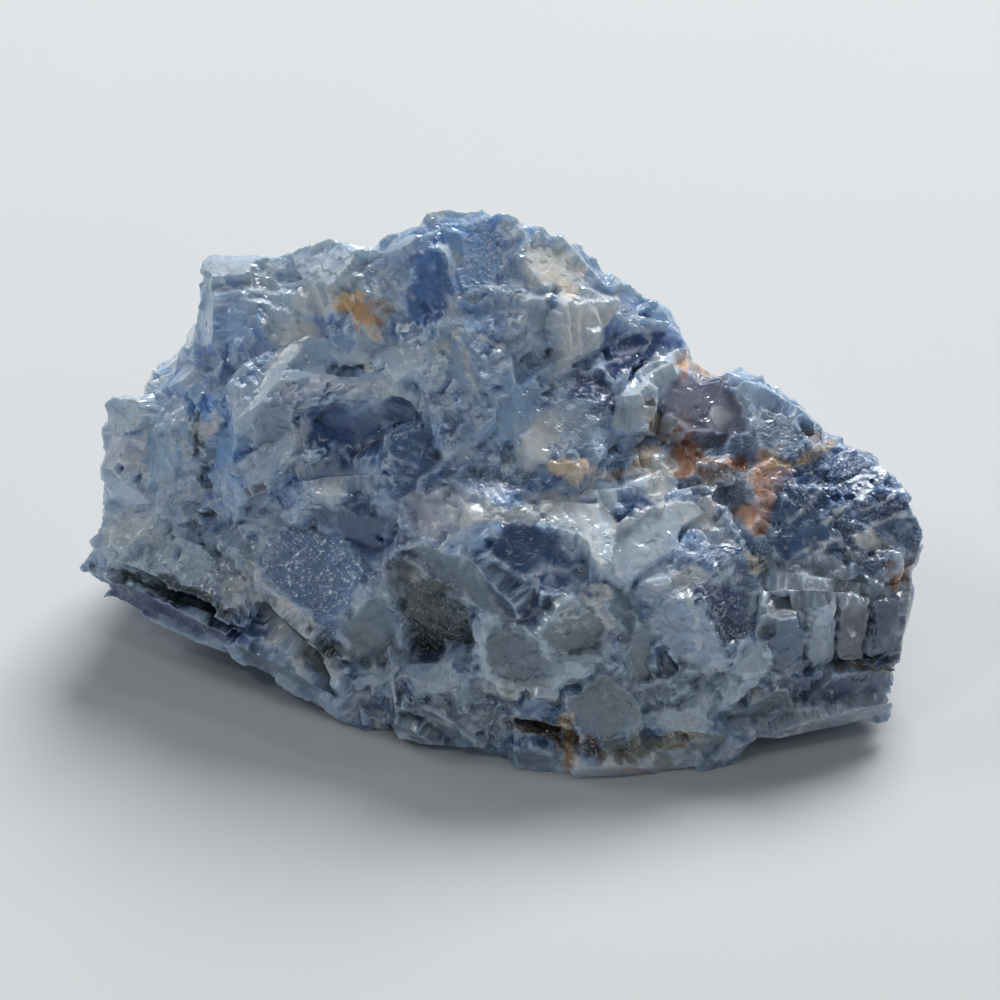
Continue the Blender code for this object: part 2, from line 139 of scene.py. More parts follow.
# The lights: where each one is, in metres, how wide it is and its power.
SKY_STRENGTH = 0.09
LIGHTS = {
    "key": ((0.4, 1.0, 1.15), 0.75, 21.0),
    "fill": ((-0.9, 0.3, 0.7), 0.4, 1.0),
    "left_glint": ((-0.45, -0.35, 0.8), 0.1, 0.4),
    "right_glint": ((0.4, -0.5, 0.7), 0.08, 0.15),
    "back_glint": ((0.0, 0.4, 0.9), 0.12, 0.3),
    "end_glint": ((-0.6, 0.2, 0.6), 0.1, 0.25),
    "top_glint": ((0.0, -0.3, 1.0), 0.1, 0.25),
}

# The camera: how far off it is, in metres, and how much of the layout the picture shows.
CAMERA_DISTANCE = 1.1
SENSOR_MM = 36.0
PICTURE_ACROSS = 125.0
PICTURE_MIDDLE = (-0.6, 35.25)

# The outline seen from the camera, from the left end over the top, in thousandths of the picture.
OUTLINE = (
    (84, 550), (102, 530), (104, 475), (101, 467), (106, 435), (106, 402), (115, 397), (144, 395),
    (148, 369), (161, 365), (181, 345), (195, 320), (201, 300), (202, 272), (212, 257), (250, 256),
    (290, 255), (310, 245), (330, 241), (360, 249), (375, 250), (390, 237), (420, 227), (432, 215),
    (450, 210), (475, 216), (500, 214), (525, 222), (550, 235), (575, 243), (597, 262), (615, 280),
    (632, 286), (650, 300), (672, 309), (681, 330), (692, 355), (705, 367), (717, 374), (742, 365),
    (770, 380), (795, 400), (820, 425), (850, 442), (875, 457), (900, 482), (906, 505), (919, 530),
    (920, 537), (912, 580), (910, 605), (897, 655), (890, 675), (887, 712), (870, 720), (770, 742),
    (740, 745), (720, 755), (695, 772), (650, 777), (600, 782), (560, 772), (525, 767), (507, 745),
    (450, 737), (395, 740), (350, 722), (310, 700), (270, 675), (200, 645), (135, 615), (107, 600),
    (102, 585), (84, 567),
)
OUTLINE_MIDDLE = (500, 520)

# Patches on the front: across, rise, half width, half height, turn in degrees, colour, share, finish.
# Patches in the near-black colour are painted shade in undercuts, recesses, cracks and clefts.
PATCHES = {
    "left_end_pale": (-44.4, 39.0, 5.5, 9.0, 0, "milk", 0.6, "stepped"),
    "left_end_blue": (-41.5, 42.0, 2.5, 5.0, 0, "sky", 0.6, "stepped"),
    "left_end_purple": (-46.8, 40.9, 2.2, 1.9, 20, "purple", 0.7, "glassy"),
    "left_crescent": (-44.6, 40.6, 0.5, 2.2, -12, "white", 0.7, "glassy"),
    "left_crack": (-37.8, 40.5, 0.6, 4.4, 0, "hollow", 0.85, "dull"),
    "left_glint": (-36.3, 44.3, 0.9, 1.3, -20, "white", 1.0, "glassy"),
    "left_deep_spot": (-33.9, 31.9, 1.1, 1.2, 0, "deep", 0.9, "glassy"),
    "left_of_ridge_blue": (-35.0, 37.5, 2.6, 4.0, 15, "blue", 0.6, "stepped"),
    "step_block": (-43.5, 49.8, 2.2, 1.6, 0, "milk", 0.5, "glassy"),
    "step_block_side": (-40.5, 48.5, 1.9, 2.4, 10, "sky", 0.8, "glassy"),
    "step_top": (-41.0, 53.0, 1.6, 1.1, 20, "milk", 0.8, "glassy"),
    "shoulder_milk": (-34.3, 63.5, 4.5, 3.0, -10, "milk", 0.8, "glassy"),
    "shoulder_mid": (-34.0, 58.2, 3.4, 3.8, 0, "sky", 0.8, "glassy"),
    "shoulder_blue": (-32.5, 56.5, 2.0, 3.4, 0, "blue", 0.5, "glassy"),
    "shoulder_low": (-33.5, 51.0, 3.0, 3.0, 0, "steel", 0.6, "sugary"),
    "lumps_grey": (-28.0, 60.5, 4.6, 4.6, 0, "grey", 0.7, "sugary"),
    "lumps_blue": (-26.0, 62.0, 2.4, 2.4, 30, "slate", 0.5, "stepped"),
    "lump_white_a": (-22.6, 60.3, 1.5, 2.1, 10, "white", 0.6, "glassy"),
    "lump_white_b": (-25.2, 56.5, 1.4, 1.2, 0, "white", 0.6, "glassy"),
    "lump_white_c": (-28.4, 56.6, 1.6, 1.2, 0, "milk", 0.6, "sugary"),
    "bump": (-20.5, 63.6, 5.0, 3.8, -10, "grey", 0.7, "stepped"),
    "bump_right": (-15.2, 62.5, 2.2, 3.6, 0, "slate", 0.8, "stepped"),
    "drip_ochre": (-19.2, 59.3, 2.1, 1.0, -40, "ochre", 0.85, "dull"),
    "drip_rust": (-17.0, 57.0, 1.7, 0.7, -42, "rust", 0.85, "dull"),
    "drip_side": (-15.8, 58.8, 1.2, 2.0, -20, "ochre", 0.4, "dull"),
    "above_ridge_slate": (-24.0, 53.6, 4.2, 1.8, 20, "slate", 0.7, "stepped"),
    "ridge_pale": (-28.2, 51.6, 5.6, 1.1, 50, "beige", 0.45, "glassy"),
    "ridge_white": (-24.4, 54.9, 2.6, 0.5, 22, "white", 0.6, "glassy"),
    "ridge_face": (-22.8, 52.2, 3.6, 1.5, 10, "steel", 0.8, "glassy"),
    "ridge_face_low": (-28.3, 46.6, 3.0, 3.9, 15, "slate", 0.9, "glassy"),
    "ridge_face_pale": (-31.0, 45.0, 1.2, 3.6, -12, "steel", 0.6, "glassy"),
    "glint_under_rust": (-17.2, 52.0, 1.2, 0.7, -12, "white", 0.9, "glassy"),
    "shelf_pale": (-16.5, 54.2, 2.6, 1.3, 0, "milk", 0.6, "glassy"),
    "hollow_rim": (-20.5, 49.0, 7.5, 0.9, -2, "lilac", 0.6, "sugary"),
    "hollow_rim_right": (-14.0, 46.5, 3.4, 0.9, -38, "milk", 0.5, "sugary"),
    "hollow_deep": (-20.5, 43.0, 6.4, 3.9, -10, "deep", 0.95, "glassy"),
    "hollow_left": (-26.4, 42.6, 2.6, 2.6, 40, "slate", 0.5, "stepped"),
    "hollow_sparkle": (-17.2, 46.0, 4.4, 1.7, -22, "steel", 0.6, "sugary"),
    "striped": (-12.0, 40.6, 3.6, 4.8, -28, "blue", 0.8, "stepped"),
    "stripes_pale": (-21.5, 39.3, 3.9, 0.7, -2, "milk", 0.5, "stepped"),
    # A white chip, its bright white partly a painted highlight.
    "white_chip_and_glint": (-21.6, 36.2, 1.5, 0.8, -15, "white", 1.0, "glassy"),
    "second_deep": (-18.5, 32.4, 5.6, 3.6, -12, "deep", 0.95, "glassy"),
    "second_sparkle": (-15.3, 34.9, 3.0, 1.1, -22, "steel", 0.7, "sugary"),
    "second_navy": (-13.5, 29.5, 1.6, 3.0, 10, "navy", 0.8, "glassy"),
    "milky_strip": (-28.3, 40.2, 5.6, 1.6, 48, "lilac", 0.7, "sugary"),
    "dark_face": (-31.6, 36.3, 1.6, 1.4, 40, "hollow", 0.6, "glassy"),
    "left_mix": (-40.5, 33.6, 4.6, 3.0, -10, "slate", 0.6, "stepped"),
    "block_top": (-22.0, 27.0, 6.0, 7.2, 22, "blue", 0.9, "sugary"),
    "block_left": (-28.6, 30.8, 1.7, 4.2, -8, "milk", 0.55, "sugary"),
    "block_lower": (-22.5, 20.2, 5.2, 2.0, -50, "deep", 0.7, "stepped"),
    "block_beige": (-16.8, 20.5, 2.8, 4.6, 15, "grey", 0.75, "glassy"),
    "block_warm": (-16.6, 18.2, 2.2, 1.8, 0, "beige", 0.4, "glassy"),
    "crust": (-42.2, 28.2, 9.0, 3.6, -14, "grey", 0.75, "sugary"),
    "crust_white": (-46.4, 31.2, 3.0, 1.6, 8, "white", 0.5, "sugary"),
    "crust_right": (-33.5, 27.5, 3.0, 3.6, -20, "smoke", 0.7, "sugary"),
    "crust_warm": (-31.0, 23.6, 3.6, 2.2, -40, "beige", 0.35, "stepped"),
    "cleft": (-40.6, 23.9, 7.8, 0.9, -15, "hollow", 0.9, "dull"),
    "slab_dark": (-39.6, 20.6, 7.0, 1.8, -14, "navy", 0.8, "glassy"),
    "slab_left": (-47.0, 23.6, 3.4, 2.4, -20, "slate", 0.7, "glassy"),
    "slab_lip": (-40.0, 17.5, 9.5, 0.9, -22, "steel", 0.7, "glassy"),
    "undercut": (-24.6, 18.4, 6.2, 1.9, -40, "hollow", 0.9, "glassy"),
    "edge_glint": (-25.6, 21.6, 3.4, 0.28, -36, "white", 1.0, "glassy"),
    "glint_a": (-28.6, 18.4, 0.8, 1.1, 10, "white", 1.0, "glassy"),
    "glint_b": (-25.4, 15.9, 0.8, 0.9, -20, "white", 1.0, "glassy"),
    "glint_c": (-19.0, 16.9, 0.9, 1.3, 30, "white", 0.8, "sugary"),
    "glint_gold": (-22.4, 14.9, 1.5, 0.9, -30, "beige", 0.8, "glassy"),
    "low_left": (-25.5, 12.4, 6.5, 3.2, -28, "steel", 0.6, "glassy"),
    "low_left_dark": (-17.6, 10.4, 2.0, 1.4, -40, "slate", 0.8, "glassy"),
    "dark_hollow": (-8.8, 20.6, 3.6, 4.4, 30, "hollow", 0.8, "stepped"),
    "hollow_heart": (-7.6, 20.0, 1.6, 1.3, 0, "grey", 0.55, "sugary"),
    "hollow_green": (-11.2, 24.2, 2.0, 2.4, 0, "smoke", 0.4, "sugary"),
    "hollow_chip": (-13.7, 24.3, 1.1, 1.4, 20, "milk", 0.7, "sugary"),
    "big_slab_dark": (-7.6, 26.8, 4.6, 1.9, -30, "slate", 0.85, "glassy"),
    "big_slab_brown": (-11.0, 28.8, 2.6, 1.3, -20, "purple", 0.6, "glassy"),
    "big_slab_deep": (1.6, 27.6, 5.4, 3.6, -32, "deep", 0.95, "glassy"),
    "big_slab_navy": (1.8, 23.6, 3.2, 2.2, -35, "navy", 0.8, "glassy"),
    "big_slab_low": (8.2, 20.4, 3.6, 3.8, -20, "smoke", 0.9, "glassy"),
    "big_slab_rim": (9.6, 16.7, 3.0, 0.5, -20, "milk", 0.5, "glassy"),
    "pink_band": (-7.4, 33.2, 4.0, 2.6, -15, "lilac", 0.75, "glassy"),
    "band_sky": (-2.0, 31.0, 5.0, 1.2, 16, "sky", 0.6, "glassy"),
    "band_deep": (-2.2, 37.4, 4.8, 1.7, -12, "blue", 0.75, "sugary"),
    "clear_block": (0.6, 16.9, 4.4, 4.2, -20, "smoke", 0.6, "glassy"),
    "clear_block_rim": (-2.6, 16.0, 0.9, 4.6, 18, "milk", 0.5, "glassy"),
    "clear_block_foot": (2.6, 12.2, 4.6, 0.8, 4, "beige", 0.5, "glassy"),
    "clear_block_wing": (7.4, 14.6, 2.6, 1.0, 25, "milk", 0.6, "glassy"),
    "veil_band": (2.2, 34.2, 8.8, 1.3, 6, "white", 0.65, "stepped"),
    "veil_top": (10.5, 33.0, 3.0, 2.6, 0, "white", 0.5, "glassy"),
    "veil_fall": (11.6, 29.6, 1.9, 4.4, 12, "milk", 0.8, "glassy"),
    "veil_fall_white": (13.2, 28.6, 0.6, 3.6, 14, "white", 0.6, "stepped"),
    "veil_spot": (11.2, 23.0, 1.2, 0.8, -35, "white", 1.0, "sugary"),
    "sugar": (-5.2, 50.4, 4.2, 5.6, 6, "steel", 0.6, "sugary"),
    "sugar_left": (-11.6, 50.6, 3.2, 3.0, 0, "steel", 0.6, "sugary"),
    "sugar_low": (-8.6, 44.2, 4.6, 2.4, -30, "blue", 0.7, "sugary"),
    "glow": (0.8, 46.4, 3.4, 4.4, 0, "sky", 0.7, "glassy"),
    "cloud": (3.8, 42.6, 2.2, 3.2, -18, "white", 0.65, "glassy"),
    "slate_mid": (-2.4, 47.6, 1.4, 3.6, -25, "slate", 0.5, "stepped"),
    "crown": (-4.6, 63.6, 9.0, 6.5, -6, "blue", 0.75, "sugary"),
    "crown_left": (-12.6, 66.4, 2.8, 1.9, 20, "steel", 0.8, "glassy"),
    "crown_deep": (-9.6, 60.8, 2.7, 5.0, 6, "deep", 0.9, "glassy"),
    "crown_cap": (-7.2, 70.3, 2.2, 0.9, 0, "milk", 0.8, "sugary"),
    "crown_cap_right": (2.6, 68.4, 2.6, 0.9, -30, "milk", 0.7, "sugary"),
    "crown_beige": (5.6, 63.6, 3.4, 2.8, -20, "beige", 0.6, "glassy"),
    "crown_yellow": (6.9, 61.4, 1.8, 0.9, -10, "ochre", 0.45, "dull"),
    "crown_edge": (10.6, 64.0, 3.4, 2.0, -50, "slate", 0.7, "stepped"),
    "crown_face": (2.2, 56.6, 2.0, 4.2, -12, "slate", 0.9, "glassy"),
    "stripes_block": (8.4, 56.4, 2.2, 3.8, -6, "white", 0.75, "glassy"),
    "stripes_right": (11.9, 58.6, 1.6, 2.4, -20, "white", 0.5, "sugary"),
    "crown_corner": (16.0, 59.0, 3.0, 2.6, -35, "slate", 0.7, "sugary"),
    "under_block": (8.6, 50.8, 3.0, 1.1, -12, "milk", 0.6, "sugary"),
    "dark_pocket": (11.0, 48.4, 3.6, 2.0, -12, "navy", 0.85, "sugary"),
    "pocket_glint": (12.2, 50.0, 0.45, 0.5, 0, "white", 1.0, "glassy"),
    "lens": (17.6, 53.4, 5.0, 3.0, 14, "navy", 0.95, "glassy"),
    "lens_top": (17.8, 57.2, 4.2, 1.0, 6, "steel", 0.6, "sugary"),
    "lens_cap": (21.6, 55.4, 1.6, 2.6, 12, "steel", 0.6, "glassy"),
    "clear_fin": (19.4, 50.4, 3.4, 1.6, 48, "milk", 0.65, "glassy"),
    "pale_gap": (15.6, 46.6, 2.8, 1.8, 30, "milk", 0.65, "sugary"),
    "grey_gap": (8.6, 45.4, 3.2, 2.6, 0, "steel", 0.6, "sugary"),
    "grey_mid": (13.2, 41.6, 4.2, 2.8, 0, "steel", 0.6, "sugary"),
    "purple_face": (24.2, 46.2, 4.6, 4.6, -10, "purple", 0.9, "glassy"),
    "skyline_rust": (22.8, 51.6, 1.6, 0.9, -10, "salmon", 0.7, "dull"),
    "light_face": (33.0, 47.6, 4.8, 2.8, -20, "steel", 0.7, "stepped"),
    "web": (32.6, 42.8, 3.6, 3.0, 30, "slate", 0.6, "sugary"),
    "pit": (18.6, 44.2, 1.5, 2.0, 0, "brown", 0.85, "dull"),
    "rust_heart": (22.4, 39.6, 1.9, 2.2, -20, "rust", 0.9, "dull"),
    "rust_trail": (21.4, 42.6, 0.7, 2.0, 10, "rust", 0.6, "dull"),
    "rust_brown": (26.2, 38.8, 3.0, 1.5, 0, "brown", 0.7, "dull"),
    "rust_amber": (27.2, 39.4, 1.6, 0.8, 0, "rust", 0.6, "dull"),
    "salmon_face": (32.4, 38.0, 2.4, 2.2, -15, "salmon", 0.9, "dull"),
    "salmon_link": (32.0, 34.6, 1.3, 2.0, 20, "salmon", 0.85, "dull"),
    "salmon_low": (29.8, 33.0, 1.8, 1.3, -20, "salmon", 0.85, "dull"),
    "ochre_trace": (37.6, 42.0, 2.6, 0.7, 12, "ochre", 0.7, "dull"),
    "ochre_band": (34.0, 40.6, 3.6, 0.6, 6, "ochre", 0.6, "dull"),
    "gravel": (18.4, 38.2, 3.2, 2.6, 0, "beige", 0.75, "sugary"),
    "gravel_gold": (16.8, 40.6, 1.6, 1.4, 0, "ochre", 0.5, "sugary"),
    "tan_lens": (7.2, 39.2, 2.1, 0.95, -4, "tan", 0.9, "dull"),
    "tan_streak": (12.4, 38.9, 2.8, 0.5, 2, "tan", 0.6, "dull"),
    "shelf_white": (13.0, 36.6, 4.6, 1.2, -4, "milk", 0.6, "glassy"),
    "dark_nook": (27.4, 35.8, 2.2, 1.6, 0, "slate", 0.85, "sugary"),
    "peach": (25.4, 34.1, 0.9, 0.6, 0, "salmon", 0.6, "dull"),
    "yellow_patch": (30.4, 27.7, 1.5, 1.2, 0, "ochre", 0.55, "dull"),
    "dome": (40.6, 34.4, 8.6, 7.0, -25, "deep", 0.85, "sugary"),
    "dome_beige": (44.2, 30.4, 2.6, 1.4, 10, "beige", 0.5, "stepped"),
    "dome_grey": (36.4, 27.4, 5.4, 1.8, -10, "grey", 0.6, "sugary"),
    "dome_blue": (36.6, 31.6, 3.4, 1.9, -12, "blue", 0.6, "glassy"),
    "dome_rust": (47.8, 26.2, 0.7, 1.3, 25, "rust", 0.7, "dull"),
    "right_end": (50.2, 21.5, 1.9, 8.0, -6, "lilac", 0.8, "glassy"),
    "right_end_brown": (49.0, 14.8, 1.2, 3.2, -10, "brown", 0.4, "stepped"),
    "cap_lilac": (35.2, 23.6, 5.6, 1.0, -4, "lilac", 0.7, "glassy"),
    "cap_milk": (31.4, 22.0, 1.5, 2.2, 0, "milk", 0.7, "glassy"),
    "recess": (33.7, 20.9, 2.2, 1.9, 0, "hollow", 0.75, "glassy"),
    "steps_left": (34.2, 17.2, 2.4, 3.0, 0, "blue", 0.5, "glassy"),
    "steps_mid": (38.2, 18.6, 1.6, 3.8, 0, "steel", 0.7, "glassy"),
    "steps_purple": (42.0, 19.2, 1.7, 3.6, 0, "purple", 0.8, "glassy"),
    "steps_navy": (45.9, 19.8, 1.9, 3.8, 0, "navy", 0.85, "glassy"),
    "steps_crack": (44.4, 15.2, 3.6, 0.45, -6, "brown", 0.8, "dull"),
    "teal_face": (41.2, 12.4, 5.8, 2.2, 6, "deep", 0.6, "glassy"),
    "bevel": (39.0, 8.0, 8.6, 2.0, 12, "lilac", 0.6, "glassy"),
    "bevel_dark": (31.2, 9.2, 4.2, 1.6, 30, "smoke", 0.6, "glassy"),
    "white_facet": (29.3, 15.6, 2.2, 2.2, 20, "milk", 0.7, "glassy"),
    "beige_tip": (31.6, 11.9, 1.0, 0.7, 0, "beige", 0.8, "glassy"),
    "fin_pale": (26.0, 11.0, 2.6, 0.9, 42, "milk", 0.45, "glassy"),
    "glassy_slope": (18.4, 30.0, 5.4, 3.4, 30, "milk", 0.6, "glassy"),
    "glassy_crest": (22.4, 33.4, 4.6, 0.9, -4, "white", 0.6, "sugary"),
    "blue_shoulder": (23.6, 29.0, 4.4, 2.6, -10, "blue", 0.85, "stepped"),
    "sparkle_crest": (22.4, 25.6, 4.0, 1.4, 18, "white", 0.6, "sugary"),
    "nook_dark": (24.6, 23.0, 3.0, 2.6, -20, "navy", 0.8, "sugary"),
    "nook_low": (27.0, 20.0, 1.6, 2.4, -10, "slate", 0.8, "sugary"),
    "lobe_sky": (20.4, 19.6, 3.6, 4.6, -25, "blue", 0.6, "stepped"),
    "lobe_dark": (14.4, 20.4, 1.5, 3.8, 8, "smoke", 0.85, "glassy"),
    "lobe_rim": (12.2, 17.6, 0.5, 4.0, -10, "milk", 0.5, "glassy"),
    "front_grey": (20.6, 12.0, 7.4, 4.0, 0, "smoke", 0.5, "stepped"),
    "front_milk": (21.0, 8.4, 3.6, 1.0, -4, "milk", 0.55, "sugary"),
    "front_slate": (12.8, 9.2, 4.0, 3.2, 0, "smoke", 0.6, "glassy"),
    "sugar_foot": (-7.4, 12.4, 4.4, 1.6, -12, "milk", 0.5, "sugary"),
    "grey_foot": (-4.6, 9.0, 6.0, 3.2, -25, "smoke", 0.6, "sugary"),
    "slab_foot": (-9.6, 7.6, 5.6, 2.2, -8, "smoke", 0.55, "glassy"),
    "slab_foot_dark": (-12.6, 9.0, 1.6, 1.4, -30, "smoke", 0.7, "glassy"),
    "ochre_streak": (7.5, 5.4, 0.5, 3.2, 2, "ochre", 0.7, "dull"),
    "crack_dark": (5.4, 7.0, 4.2, 0.9, -12, "brown", 0.85, "dull"),
    "olive_a": (14.4, 4.6, 3.0, 1.3, -22, "olive", 0.7, "dull"),
    "olive_b": (20.6, 6.0, 4.0, 1.2, 8, "olive", 0.7, "dull"),
    "lilac_foot": (12.6, 2.2, 9.0, 1.4, 4, "lilac", 0.7, "glassy"),
    "foot_left": (3.4, 2.6, 3.0, 2.0, -10, "steel", 0.6, "glassy"),
}
